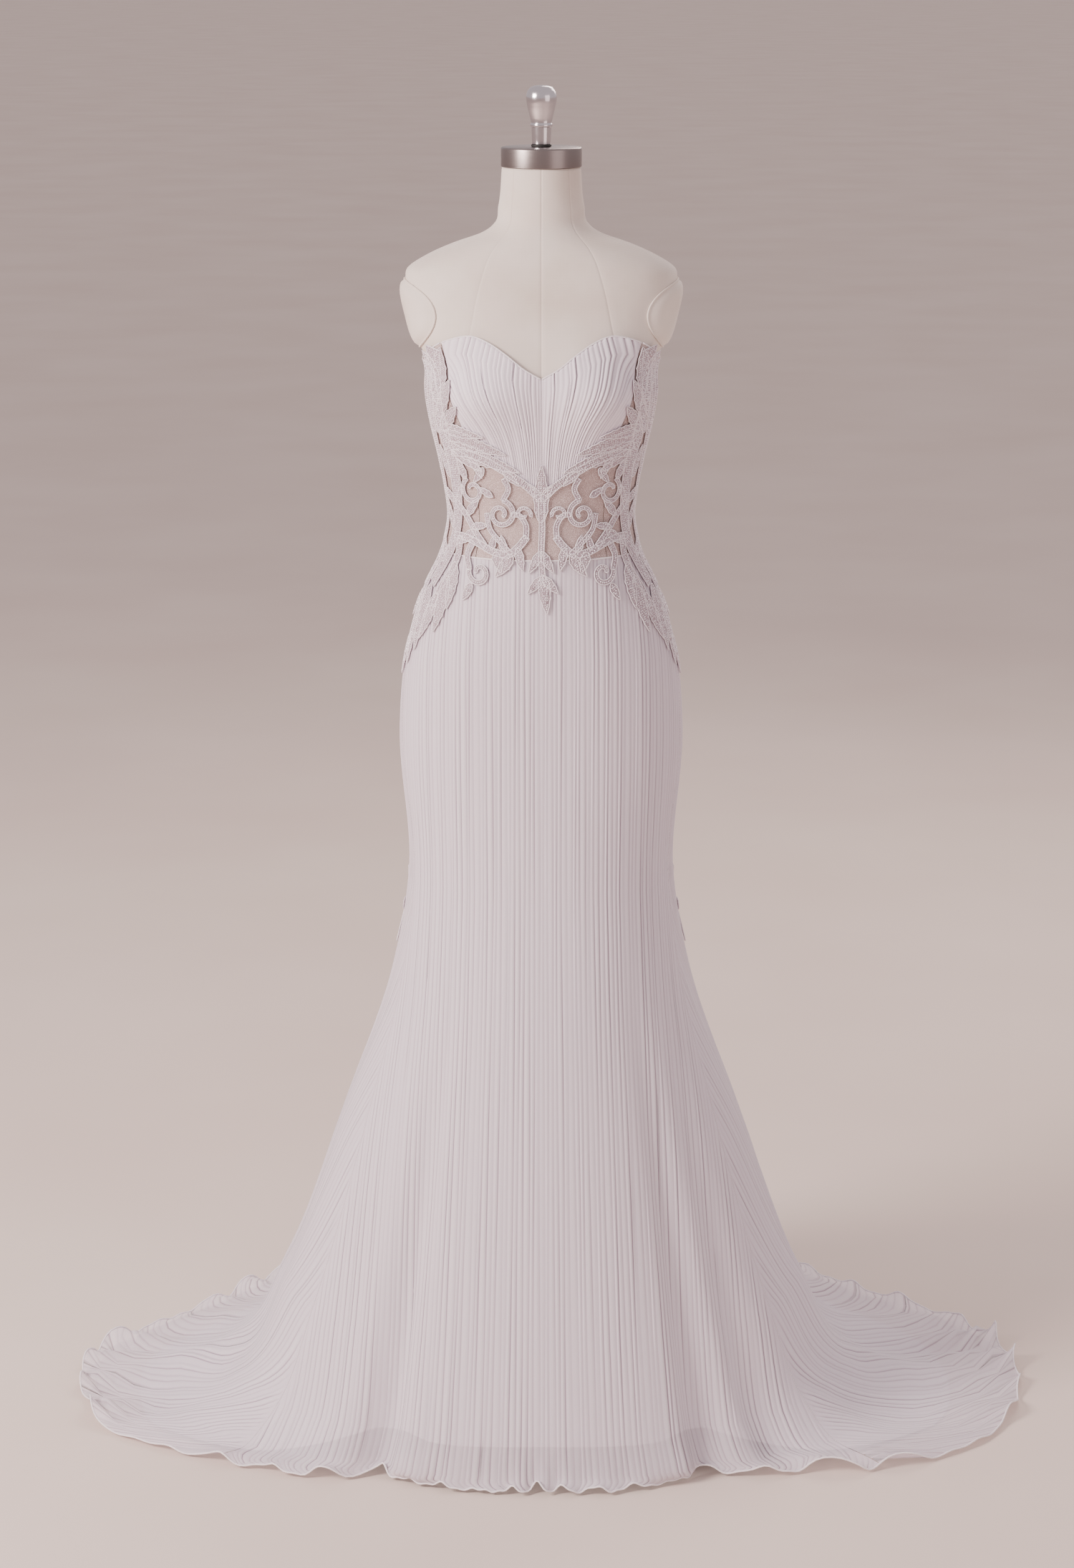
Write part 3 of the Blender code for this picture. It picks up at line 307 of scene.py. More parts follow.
def with_hem_waves(surface, rows):
    """Lifts the last rows in the waves of the rolled hem, and lets the train lie in soft uneven ripples."""
    share = (np.clip(rows - (STATIONS - 2), 0.0, 1.0) ** 1.3)[:, None]
    turn = np.radians(RING_ANGLES)
    hanging = np.exp(-(RING_ANGLES / 62.0) ** 4)
    fitful = 0.55 + 0.30 * np.sin(7.3 * turn + 1.0) + 0.25 * np.sin(17.1 * turn + 2.0)
    crest = (0.5 + 0.5 * np.cos(hem_phase(RING_ANGLES) + 0.5 * np.sin(11 * turn))) ** 1.3
    lift = (HEM_WAVE_HEIGHT * hanging + TRAIN_WAVE_HEIGHT * (1 - hanging)) * crest * fitful
    ripple = 0.0012 * np.cos(2.3 * hem_phase(RING_ANGLES) + 1.0)
    surface[:, :, 2] += share * (lift + ripple + 0.0014)
    flutter = HEM_FLUTTER * np.sin(hem_phase(RING_ANGLES) + 0.8 * np.sin(11 * turn)) * fitful
    start = np.clip((rows - (STATIONS - 3)) / 2.0, 0.0, 1.0)[:, None] ** 1.5
    surface[:, :, 0] += start * flutter * np.sin(turn)
    surface[:, :, 1] -= start * flutter * np.cos(turn)
    lying = np.clip((rows - 8.3) / 0.8, 0.0, 1.0) * np.clip((STATIONS - 1 - rows) / 0.5, 0.0, 1.0)
    soft = 0.0022 * (np.sin(21 * turn + 2 * np.sin(5 * turn)) + 0.6 * np.sin(37 * turn + 1.0))
    surface[:, :, 2] += lying[:, None] * (soft + 0.0024) * (1 - hanging)
    return surface


def outward_normals(surface):
    along = np.gradient(surface, axis=0)
    around = np.gradient(surface, axis=1)
    around[:, 0] = around[:, -1] = surface[:, 1] - surface[:, -2]
    normals = np.cross(around, along)
    normals /= np.linalg.norm(normals, axis=2, keepdims=True)
    return normals * np.sign(np.sum(normals * surface * np.array([1.0, 1.0, 0.0])))


def row_table(rings):
    """Row numbers, in stations, about one row step apart along the cloth."""
    lengths = np.linalg.norm(np.diff(rings, axis=0), axis=2).mean(axis=1)
    rows = [np.linspace(s, s + 1, max(2, round(length / ROW_STEP)), endpoint=False)
            for s, length in enumerate(lengths)]
    return np.concatenate(rows + [[len(lengths)]])


STATION_RINGS = station_rings(RING_ANGLES, FOLDS, TRAIN_RIDGES)
STATIONS = len(STATION_RINGS)
ROWS = row_table(STATION_RINGS)
SKIRT = with_hem_waves(surface_rows(STATION_RINGS, ROWS), ROWS)
SKIRT_NORMALS = outward_normals(SKIRT)
SLIP_FOLDS = [(angle, 1.15 * depth, 1.9 * spread, start) for angle, depth, spread, start in FOLDS]
SLIP_RINGS = station_rings(RING_ANGLES, SLIP_FOLDS, [])
BODICE_LEVELS = np.arange(1.436, WAIST_SEAM, -0.004)
FIGURE = np.concatenate(
    [[body_point(RING_ANGLES, np.full_like(RING_ANGLES, level), EASE) for level in BODICE_LEVELS], SKIRT])
FIGURE_NORMALS = outward_normals(FIGURE)
FIGURE_LEVELS = np.minimum.accumulate(FIGURE[:, np.searchsorted(RING_ANGLES, 90.0), 2])
FRONT_INDEX = int(np.searchsorted(RING_ANGLES, 0.0))
FIGURE_ARCS = np.concatenate(
    [np.zeros((len(FIGURE), 1)),
     np.cumsum(np.linalg.norm(np.diff(FIGURE[:, FRONT_INDEX:], axis=1), axis=2), axis=1)], axis=1)


def figure_spot(side, arc, height, out):
    """Point on the gown at an arc length from the centre front and a height, moved out along the normal."""
    place = np.interp(-height, -FIGURE_LEVELS, np.arange(len(FIGURE_LEVELS)))
    low = min(int(place), len(FIGURE) - 2)
    share = place - low
    sign = side if arc >= 0 else -side
    total = np.zeros(3)
    for row, weight in ((low, 1 - share), (low + 1, share)):
        angle = sign * np.interp(abs(arc), FIGURE_ARCS[row], RING_ANGLES[FRONT_INDEX:])
        column = (angle + 180.0) / 360.0 * (len(RING_ANGLES) - 1)
        first = min(int(column), len(RING_ANGLES) - 2)
        part = column - first
        point = FIGURE[row, first] * (1 - part) + FIGURE[row, first + 1] * part
        normal = FIGURE_NORMALS[row, first] * (1 - part) + FIGURE_NORMALS[row, first + 1] * part
        total += weight * (point + out * normal)
    return Vector(total)


def srgb(hex_colour):
    """Linear RGBA from an sRGB hex colour."""
    channels = [int(hex_colour[i:i + 2], 16) / 255 for i in (1, 3, 5)]
    return [c / 12.92 if c <= 0.04045 else ((c + 0.055) / 1.055) ** 2.4 for c in channels] + [1.0]


def material(name, colour, **settings):
    """A Principled material; settings are socket names with underscores."""
    made = bpy.data.materials.new(name)
    made.use_nodes = True
    shader = made.node_tree.nodes["Principled BSDF"]
    shader.inputs["Base Color"].default_value = srgb(colour)
    for socket, value in settings.items():
        shader.inputs[socket.replace("_", " ")].default_value = value
    return made, shader


def node(made, kind, settings=None, **links):
    """Adds one node; settings hold its properties and socket values, links hold what feeds its sockets."""
    added = made.node_tree.nodes.new(kind)
    for key, value in (settings or {}).items():
        if isinstance(key, int) or key in added.inputs:
            added.inputs[key].default_value = value
        else:
            setattr(added, key, value)
    for key, source in links.items():
        socket = added.inputs[int(key[1:])] if key[0] == "i" and key[1:].isdigit() else added.inputs[key]
        made.node_tree.links.new(source, socket)
    return added


def ramp(made, source, stops):
    """A colour ramp fed by a value; stops are place and sRGB colour."""
    added = node(made, "ShaderNodeValToRGB", Fac=source)
    elements = added.color_ramp.elements
    while len(elements) < len(stops):
        elements.new(0.5)
    for element, (place, colour) in zip(elements, stops):
        element.position = place
        element.color = srgb(colour)
    return added.outputs["Color"]


def link(made, source, shader, socket):
    made.node_tree.links.new(source, shader.inputs[socket])


def bump(made, shader, height, strength, distance):
    added = node(made, "ShaderNodeBump", {"Strength": strength, "Distance": distance}, Height=height)
    link(made, added.outputs["Normal"], shader, "Normal")


def chiffon_material(name, see_through):
    """Crinkle-pleated polyester chiffon: a dry matt crepe, painted darker mauve in its fold bottoms as
    painted shade and paler on its ridges as painted highlight.
    """
    made, shader = material(name, "#F2E9F2", Roughness=0.72, Sheen_Weight=0.25, Sheen_Roughness=0.45,
                            Specular_IOR_Level=0.28)
    fold = node(made, "ShaderNodeAttribute", {"attribute_name": "fold"})
    # The pleat depth paints the cloth: darker mauve in the fold bottoms as painted shade, paler on the ridges
    # as painted highlight.
    shade = ramp(made, fold.outputs["Fac"],
                 [(0.0, "#8F7C8B"), (0.22, "#C4B4C1"), (0.50, "#E9DEE9"), (0.80, "#F8F0F8")])
    link(made, shade, shader, "Base Color")
    place = node(made, "ShaderNodeTexCoord")
    # The crepe's grain is about 0.8 mm and its crinkles run to about 9 mm.
    grain = node(made, "ShaderNodeTexNoise", {"Scale": 1250.0, "Detail": 2.0}, Vector=place.outputs["Object"])
    crinkle = node(made, "ShaderNodeTexNoise", {"Scale": 110.0, "Detail": 3.0},
                   Vector=place.outputs["Object"])
    both = node(made, "ShaderNodeMath", {"operation": "MULTIPLY_ADD", 1: 2.2},
                i0=crinkle.outputs["Fac"], i2=grain.outputs["Fac"])
    bump(made, shader, both.outputs["Value"], 0.35, 0.0006)
    if see_through:
        solid = node(made, "ShaderNodeMapRange", {"To Min": 0.84, "To Max": 0.60}, Value=fold.outputs["Fac"])
        link(made, solid.outputs["Result"], shader, "Alpha")
    return made


def mesh_material():
    """Nylon illusion mesh: a warm skin-toned net, finer than the render shows, so it is drawn at 1.6 mm."""
    made, shader = material("nylon_illusion_mesh", "#CBB2AE", Roughness=0.80, Sheen_Weight=0.2)
    place = node(made, "ShaderNodeTexCoord")
    cells = node(made, "ShaderNodeTexVoronoi", {"feature": "DISTANCE_TO_EDGE", "Scale": 620.0},
                 Vector=place.outputs["Object"])
    thread = node(made, "ShaderNodeMapRange", {"From Max": 0.16, "To Min": 1.0, "To Max": 0.0},
                  Value=cells.outputs["Distance"])
    colour = ramp(made, thread.outputs["Result"], [(0.0, "#BFA5A2"), (1.0, "#DCC9C8")])
    link(made, colour, shader, "Base Color")
    solid = node(made, "ShaderNodeMapRange", {"To Min": 0.62, "To Max": 0.97}, Value=thread.outputs["Result"])
    link(made, solid.outputs["Result"], shader, "Alpha")
    bump(made, shader, thread.outputs["Result"], 0.4, 0.0004)
    return made


def satin_material():
    """Polyester satin of the slip and the covered buttons: smooth, with a soft broad shine."""
    made, shader = material("polyester_satin", "#F3EDF1", Roughness=0.42, Sheen_Weight=0.15)
    place = node(made, "ShaderNodeTexCoord")
    # Satin floats are about 0.7 mm long; only their soft streaks show.
    wave = node(made, "ShaderNodeTexNoise", {"Scale": 420.0, "Detail": 2.0}, Vector=place.outputs["Object"])
    colour = ramp(made, wave.outputs["Fac"], [(0.3, "#EBE3E8"), (0.7, "#F7F2F5")])
    link(made, colour, shader, "Base Color")
    bump(made, shader, wave.outputs["Fac"], 0.15, 0.0003)
    return made


def lace_material():
    """Embroidered lace ground, closely covered with 1.7 mm beads and sequins that glint, each bead painted
    with a highlight on its top and with shade in the gaps between.
    """
    made, shader = material("beaded_embroidery", "#E9DEE4", Roughness=0.38, Specular_IOR_Level=0.55,
                            Sheen_Weight=0.1)
    place = node(made, "ShaderNodeTexCoord")
    beads = node(made, "ShaderNodeTexVoronoi", {"Scale": 560.0, "Randomness": 0.85},
                 Vector=place.outputs["Object"])
    dome = node(made, "ShaderNodeMapRange", {"From Max": 0.55, "To Min": 1.0, "To Max": 0.0},
                Value=beads.outputs["Distance"])
    # Painted highlight on each bead's top, painted shade in the gaps between the beads.
    colour = ramp(made, dome.outputs["Result"], [(0.0, "#A9959E"), (0.35, "#D9CBD3"), (1.0, "#FBF7FA")])
    link(made, colour, shader, "Base Color")
    rough = node(made, "ShaderNodeMapRange", {"To Min": 0.60, "To Max": 0.22}, Value=dome.outputs["Result"])
    link(made, rough.outputs["Result"], shader, "Roughness")
    bump(made, shader, dome.outputs["Result"], 0.9, 0.0009)
    return made


def cord_material():
    """Rayon cord twisted from three strands, with a silky shine across the twist."""
    made, shader = material("twisted_rayon_cord", "#F0E7EC", Roughness=0.40, Sheen_Weight=0.2)
    place = node(made, "ShaderNodeTexCoord")
    twist = node(made, "ShaderNodeTexNoise", {"Scale": 1500.0, "Detail": 1.0}, Vector=place.outputs["Object"])
    colour = ramp(made, twist.outputs["Fac"], [(0.3, "#DDD0D8"), (0.7, "#FAF5F8")])
    link(made, colour, shader, "Base Color")
    bump(made, shader, twist.outputs["Fac"], 0.5, 0.0004)
    return made


def bead_material():
    """Glass seed beads and crystals: clear white glass over a pale lining, so they sparkle."""
    made, shader = material("lined_glass_beads", "#F4EFF4", Roughness=0.08, Coat_Weight=0.6,
                            Coat_Roughness=0.05, Specular_IOR_Level=0.8)
    place = node(made, "ShaderNodeTexCoord")
    cloud = node(made, "ShaderNodeTexNoise", {"Scale": 300.0}, Vector=place.outputs["Object"])
    colour = ramp(made, cloud.outputs["Fac"], [(0.35, "#DCD0DC"), (0.65, "#FFFDFF")])
    link(made, colour, shader, "Base Color")
    return made


def linen_material():
    """Plain-woven linen canvas of the form: cream threads with slubs, a little uneven from handling."""
    made, shader = material("linen_canvas", "#E2D5C9", Roughness=0.88, Sheen_Weight=0.15)
    place = node(made, "ShaderNodeTexCoord")
    # Threads are 0.7 mm apart; they are drawn at 1.1 mm so that they show.
    warp = node(made, "ShaderNodeTexWave", {"bands_direction": "X", "Scale": 290.0, "Distortion": 1.2,
                                            "Detail": 2.0}, Vector=place.outputs["Object"])
    weft = node(made, "ShaderNodeTexWave", {"bands_direction": "Z", "Scale": 290.0, "Distortion": 1.2,
                                            "Detail": 2.0}, Vector=place.outputs["Object"])
    weave = node(made, "ShaderNodeMath", {"operation": "MULTIPLY"},
                 i0=warp.outputs["Fac"], i1=weft.outputs["Fac"])
    cloud = node(made, "ShaderNodeTexNoise", {"Scale": 9.0, "Detail": 4.0}, Vector=place.outputs["Object"])
    mixed = node(made, "ShaderNodeMath", {"operation": "MULTIPLY_ADD", 1: 0.25},
                 i0=weave.outputs["Value"], i2=cloud.outputs["Fac"])
    colour = ramp(made, mixed.outputs["Value"], [(0.30, "#D4C5B9"), (0.55, "#E3D7CD"), (0.85, "#EFE6DE")])
    link(made, colour, shader, "Base Color")
    bump(made, shader, weave.outputs["Value"], 0.25, 0.0003)
    return made


def steel_material():
    """Brushed stainless steel: fine turning marks stretched round the cap; its grey is darkened and warmed as
    a painted reflection of a dark brown surround.
    """
    # Steel grey, darkened and warmed as a painted reflection of a dark brown surround; the stand's pole and
    # base share it.
    made, shader = material("brushed_stainless_steel", "#8E8583", Metallic=1.0, Roughness=0.30)
    place = node(made, "ShaderNodeTexCoord")
    stretched = node(made, "ShaderNodeMapping", {"Scale": (40.0, 40.0, 2600.0)},
                     Vector=place.outputs["Object"])
    marks = node(made, "ShaderNodeTexNoise", {"Scale": 1.0, "Detail": 3.0},
                 Vector=stretched.outputs["Vector"])
    rough = node(made, "ShaderNodeMapRange", {"To Min": 0.22, "To Max": 0.42}, Value=marks.outputs["Fac"])
    link(made, rough.outputs["Result"], shader, "Roughness")
    bump(made, shader, marks.outputs["Fac"], 0.2, 0.0002)
    return made


def aluminium_material():
    """Polished cast aluminium: bright, with a faint haze from handling."""
    made, shader = material("polished_aluminium", "#DAD6DA", Metallic=1.0, Roughness=0.16)
    place = node(made, "ShaderNodeTexCoord")
    haze = node(made, "ShaderNodeTexNoise", {"Scale": 60.0, "Detail": 4.0}, Vector=place.outputs["Object"])
    rough = node(made, "ShaderNodeMapRange", {"To Min": 0.10, "To Max": 0.26}, Value=haze.outputs["Fac"])
    link(made, rough.outputs["Result"], shader, "Roughness")
    return made


def rubber_material():
    """Moulded black rubber washer with a fine matt grain."""
    made, shader = material("moulded_black_rubber", "#1D1B1B", Roughness=0.65)
    place = node(made, "ShaderNodeTexCoord")
    grain = node(made, "ShaderNodeTexNoise", {"Scale": 1800.0}, Vector=place.outputs["Object"])
    bump(made, shader, grain.outputs["Fac"], 0.3, 0.0002)
    return made


MATERIALS = {
    "skirt chiffon": chiffon_material("crinkle_pleated_chiffon", True),
    "lined chiffon": chiffon_material("lined_pleated_chiffon", False),
    "mesh": mesh_material(),
    "satin": satin_material(),
    "lace": lace_material(),
    "cord": cord_material(),
    "beads": bead_material(),
    "linen": linen_material(),
    "steel": steel_material(),
    "aluminium": aluminium_material(),
    "rubber": rubber_material(),
}


def add_piece(name, bm, finish, replaces=(), smooth=True):
    """Makes the mesh an object that rides on the root body and shows in place of the named nodes."""
    mesh = bpy.data.meshes.new(name)
    bm.to_mesh(mesh)
    bm.free()
    if smooth:
        mesh.shade_smooth()
    mesh.materials.append(MATERIALS[finish])
    piece = bpy.data.objects.new(name, mesh)
    bpy.context.scene.collection.objects.link(piece)
    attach(piece, "root")
    if replaces:
        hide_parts(*replaces)
    return piece


# Stores the pleat depth that the chiffon turns into painted shade in its fold bottoms and painted highlight
# on its ridges.
def set_painted_fold_shade(piece, values):
    attribute = piece.data.attributes.new("fold", "FLOAT", "POINT")
    attribute.data.foreach_set("value", np.asarray(values, np.float32))


def cut_strip(bm, row, starts, ends):
    """One strip of cloth between two rows, flat, cut along both of its seams; its unit is a fold's column."""
    first = math.floor(min(starts)) - 1
    last = math.ceil(max(ends)) + 1
    made = bmesh.ops.create_grid(bm, x_segments=last - first, y_segments=1, size=0.5)["verts"]
    for vert in made:
        vert.co.x = first + (vert.co.x + 0.5) * (last - first)
        vert.co.y = row + vert.co.y + 0.5
    strip = set(made)
    for (upper, lower), side in ((starts, -1), (ends, 1)):
        faces = {face for vert in strip if vert.is_valid for face in vert.link_faces}
        edges = {edge for face in faces for edge in face.edges}
        verts = {vert for face in faces for vert in face.verts}
        across = Vector((1.0, upper - lower, 0.0)).normalized() * side
        cut = bmesh.ops.bisect_plane(
            bm, geom=list(faces) + list(edges) + list(verts), dist=1e-6,
            plane_co=(upper, row, 0.0), plane_no=across, clear_outer=True)
        strip = {vert for vert in verts if vert.is_valid}
        strip |= {item for item in cut["geom_cut"] if isinstance(item, bmesh.types.BMVert)}


def scatter(index, seed):
    """An even-looking number from 0 to 1 for each whole number."""
    return np.modf(np.abs(np.sin(index * 12.9898 + seed * 78.233)) * 43758.5453)[0]


def pleat_profile(index, row):
    """Height of a pleated column, from -1 in a thin fold to 1 on a broad ridge, no two pleats alike."""
    phase = np.mod(index, COLUMNS_A_PLEAT).astype(int)
    pleat = np.floor_divide(index, COLUMNS_A_PLEAT)
    shape = np.array([0.70, 0.45, -1.0, 0.30])[phase]
    strength = 0.30 + 1.00 * scatter(pleat, 1.0) ** 1.3
    strength = strength * (0.80 + 0.20 * np.sin(0.16 * row + 6.28 * scatter(pleat, 2.0)))
    return shape * strength


def pleated_cloth(first_cut, last_cut):
    """Flat cloth with both seams cut, in columns and rows: its mesh and, for each point, where it is.

    The points come back as column, row, the whole row above, the share below that, the cut at each side,
    the whole column, and how freely the pleats may move there, which is nothing along a seam.
    """
    bm = bmesh.new()
    for row in range(len(first_cut) - 1):
        cut_strip(bm, row, first_cut[row:row + 2], last_cut[row:row + 2])
    bmesh.ops.remove_doubles(bm, verts=bm.verts, dist=0.08)
    across, row = np.array([vert.co[:2] for vert in bm.verts]).T
    low = np.clip((row + 1e-5).astype(int), 0, len(first_cut) - 2)
    share = row - low
    begin = first_cut[low] * (1 - share) + first_cut[low + 1] * share
    end = last_cut[low] * (1 - share) + last_cut[low + 1] * share
    index = np.round(across)
    inside = (np.abs(across - index) < 0.1) & (across > begin + 0.1) & (across < end - 0.1)
    calm = np.clip(np.minimum(across - begin, end - across) / 5.0, 0.0, 1.0) * inside
    return bm, across, row, low, share, begin, end, index, calm


def face_outwards(bm):
    """Turns the faces of an open sheet so that they point away from the figure's axis."""
    bm.normal_update()
    middles = ((face.normal, face.calc_center_median()) for face in bm.faces)
    if sum(normal.x * middle.x + normal.y * middle.y for normal, middle in middles) < 0:
        bmesh.ops.reverse_faces(bm, faces=bm.faces)


def row_arcs(surface, origin, turn, reach=190.0):
    """For each row, the arc lengths from the origin angle and the angles that they belong to."""
    angles = origin + turn * np.arange(0.0, reach, 0.5)
    columns = (wrapped(angles) + 180.0) / 360.0 * (len(RING_ANGLES) - 1)
    low = np.clip(columns.astype(int), 0, len(RING_ANGLES) - 2)
    part = (columns - low)[None, :, None]
    points = surface[:, low] * (1 - part) + surface[:, low + 1] * part
    steps = np.linalg.norm(np.diff(points, axis=1), axis=2)
    return angles, np.concatenate([np.zeros((len(surface), 1)), np.cumsum(steps, axis=1)], axis=1)


def on_rows(surface, normals, rows, angles):
    """Points and normals at a row number and an angle for each item, between whole rows too."""
    columns = (wrapped(angles) + 180.0) / 360.0 * (len(RING_ANGLES) - 1)
    left = np.clip(columns.astype(int), 0, len(RING_ANGLES) - 2)
    part = (columns - left)[:, None]
    low = np.clip(rows.astype(int), 0, len(surface) - 2)
    share = (rows - low)[:, None]
    found = []
    for field in (surface, normals):
        upper = field[low, left] * (1 - part) + field[low, left + 1] * part
        lower = field[low + 1, left] * (1 - part) + field[low + 1, left + 1] * part
        found.append(upper * (1 - share) + lower * share)
    return found


def uneven(index, row):
    """How far a column strays from its place, in columns, so that no two pleats are as wide."""
    pleat = np.floor(index / COLUMNS_A_PLEAT)
    return 1.5 * (scatter(pleat, 4.0) - 0.5) + 0.35 * np.sin(1.9 * pleat + 0.11 * row)


def pleated_skirt_panel(name, origin, turn, start_seam, end_seam, pitches):
    """Pleated cloth cut flat along its seams, then hung on the skirt's surface, pleats beside the origin.

    Each seam is an angle from the origin for every station; the start seam may be none, on the origin line.
    """
    stations = np.arange(STATIONS)
    unit = np.interp(ROWS, stations, pitches) / COLUMNS_A_PLEAT
    right_angles, right = row_arcs(SKIRT, origin, turn)
    left_angles, left = row_arcs(SKIRT, origin, -turn)

    def seam_arcs(seam, side_angles, side_arcs):
        swept = np.interp(ROWS, stations, seam)
        turned_by = np.abs(side_angles - origin)
        return np.array([np.interp(angle, turned_by, arcs) for angle, arcs in zip(swept, side_arcs)])

    ends = seam_arcs(end_seam, right_angles, right) - SIDE_SEAM_ROOM
    starts = np.full(len(ROWS), CENTRE_SEAM_ROOM)
    if start_seam is not None:
        starts = SIDE_SEAM_ROOM - seam_arcs(start_seam, left_angles, left)
    bm, across, row, low, share, begin, end, index, calm = pleated_cloth(starts / unit, ends / unit)
    drift = uneven(index, row)
    part = np.clip((across + drift * calm - begin) / (end - begin), 0.0, 1.0)
    arc_low = starts[low] + part * (ends[low] - starts[low])
    arc_high = starts[low + 1] + part * (ends[low + 1] - starts[low + 1])
    angles = np.zeros(len(across))
    for r in range(len(ROWS) - 1):
        mask = low == r
        if not mask.any():
            continue
        above = (r, arc_low[mask], 1 - share[mask])
        below = (r + 1, arc_high[mask], share[mask])
        for table_row, arcs, weight in (above, below):
            table_arcs = np.concatenate([-left[table_row][:0:-1], right[table_row]])
            table_angles = np.concatenate([left_angles[:0:-1], right_angles])
            angles[mask] += weight * np.interp(arcs, table_arcs, table_angles)
    points, normals = on_rows(SKIRT, SKIRT_NORMALS, row, angles)
    fold = pleat_profile(index, row) * calm
    toward_hem = np.clip((len(ROWS) - 1 - row) / 5.0, 0.0, 1.0)
    toward_waist = np.clip(row / 3.0, 0.15, 1.0)
    relief = PLEAT_RELIEF * fold * (0.25 + 0.75 * toward_hem) * toward_waist
    for vert, point in zip(bm.verts, points + relief[:, None] * normals):
        vert.co = point
    face_outwards(bm)
    layer = bm.loops.layers.uv.new("cloth")
    lengths = np.concatenate([[0.0], np.cumsum(np.linalg.norm(np.diff(SKIRT, axis=0), axis=2).mean(axis=1))])
    down = np.interp(row, np.arange(len(ROWS)), lengths)
    arc = arc_low * (1 - share) + arc_high * share
    bm.verts.index_update()
    for face in bm.faces:
        for loop in face.loops:
            loop[layer].uv = (arc[loop.vert.index], down[loop.vert.index])
    piece = add_piece(name + "_pleats", bm, "skirt chiffon", [name])
    # The pleat depth is kept for the chiffon's painted shade in the folds and painted highlight on the
    # ridges.
    set_painted_fold_shade(piece, np.clip(0.5 + 0.5 * fold, 0.0, 1.0))
    return piece


def grid_piece(name, columns, rows, place, finish, replaces=(), wall=0.0):
    """A sheet whose points are place(p, s), with p across and s up; wall is its thickness, inwards."""
    bm = bmesh.new()
    bmesh.ops.create_grid(bm, x_segments=columns, y_segments=rows, size=0.5)
    p = np.array([vert.co.x + 0.5 for vert in bm.verts])
    s = np.array([vert.co.y + 0.5 for vert in bm.verts])
    for vert, point in zip(bm.verts, place(p, s)):
        vert.co = point
    face_outwards(bm)
    piece = add_piece(name, bm, finish, replaces)
    if wall:
        modifier = piece.modifiers.new("wall", "SOLIDIFY")
        modifier.thickness = wall
        modifier.offset = -1
    return piece


def skirt_panels():
    front = pleated_skirt_panel("skirt_front", 0.0, 1, SIDE_SEAM, SIDE_SEAM, FRONT_PITCH)
    back_seam = [180.0 - seam for seam in SIDE_SEAM]
    left = pleated_skirt_panel("skirt_back_left", 180.0, 1, None, back_seam, BACK_PITCH)
    right = pleated_skirt_panel("skirt_back_right", 180.0, -1, None, back_seam, BACK_PITCH)
    return front, left, right


def slip_panels():
    """The opaque slip under the chiffon, from the waist down to its own edge."""
    rows = np.concatenate([np.arange(0.0, 3.0, 0.25), np.arange(3.0, STATIONS - 0.9, 0.125)])
    surface = surface_rows(SLIP_RINGS, rows)
    normals = outward_normals(surface)
    made = []
    for name, first, last, columns in (("slip_front", -64.0, 64.0, 90), ("slip_back_right", 64.0, 180.0, 80),
                                       ("slip_back_left", -180.0, -64.0, 80)):
        def place(p, s, first=first, last=last):
            angles = first + 0.05 + p * (last - first - 0.1)
            end = straight_column(SLIP_END, np.abs(angles))
            row = end * (1 - s)
            points, out = on_rows(surface, normals, np.interp(row, rows, np.arange(len(rows))), angles)
            drop = np.where(row < 3.5, SLIP_HIP_DROP, SLIP_DROP)[:, None]
            return points - drop * out

        made.append(grid_piece(name + "_satin", columns, 84, place, "satin", [name]))
    return made


def cup_column(low, top, s):
    """Angle and height at the share s up a cup's pleat that starts at the angle low and ends at top."""
    angles = low + (top - low) * (0.6 * s + 0.4 * s**2.2)
    bottom = straight_column(FRONT_V, low)
    return angles, bottom + (neckline(top) - bottom) * s


def pleated_cup(side, word):
    """One cup. Its pleats hang from the neckline and draw together under the bust towards the V edge."""
    levels = np.linspace(0.0, 1.0, CUP_LEVELS + 1)
    gather = 1.0 - CUP_GATHER * (1.0 - np.clip(levels / 0.85, 0.0, 1.0) ** 1.6)
    unit = CUP_EDGE_TOP / (COLUMNS_A_PLEAT * CUP_PLEATS)
    edge = CUP_EDGE_LOW + (CUP_EDGE_TOP - CUP_EDGE_LOW) * (0.6 * levels + 0.4 * levels**2.2) - 0.15
    cloth = pleated_cloth(CUP_START / gather / unit, edge / gather / unit)
    bm, across, row, low, share, begin, end, index, calm = cloth
    part = np.clip((across + uneven(index, row) * calm - begin) / (end - begin), 0.0, 1.0)
    s = row / CUP_LEVELS
    spread = np.arcsin(part * math.sin(math.radians(CUP_EDGE_TOP))) / math.radians(CUP_EDGE_TOP)
    angles = CUP_START + spread * (np.interp(s, levels, edge) - CUP_START)
    bottom = straight_column(FRONT_V, angles)
    heights = bottom + (neckline(angles) - bottom) * s
    fold = pleat_profile(index + 400 * side, row) * calm
    for vert, point in zip(bm.verts, body_point(side * angles, heights, EASE + CUP_RELIEF * fold)):
        vert.co = point
    face_outwards(bm)
    piece = add_piece(f"bodice_front_{word}_pleats", bm, "lined chiffon",
                      [f"bodice_front_{word}"])
    # The pleat depth is kept for the lined chiffon's painted shade in the folds and painted highlight on the
    # ridges.
    set_painted_fold_shade(piece, np.clip(0.55 + 0.5 * fold, 0.0, 1.0))
    wall = piece.modifiers.new("wall", "SOLIDIFY")
    wall.thickness = 0.0009
    wall.offset = -1
    return piece


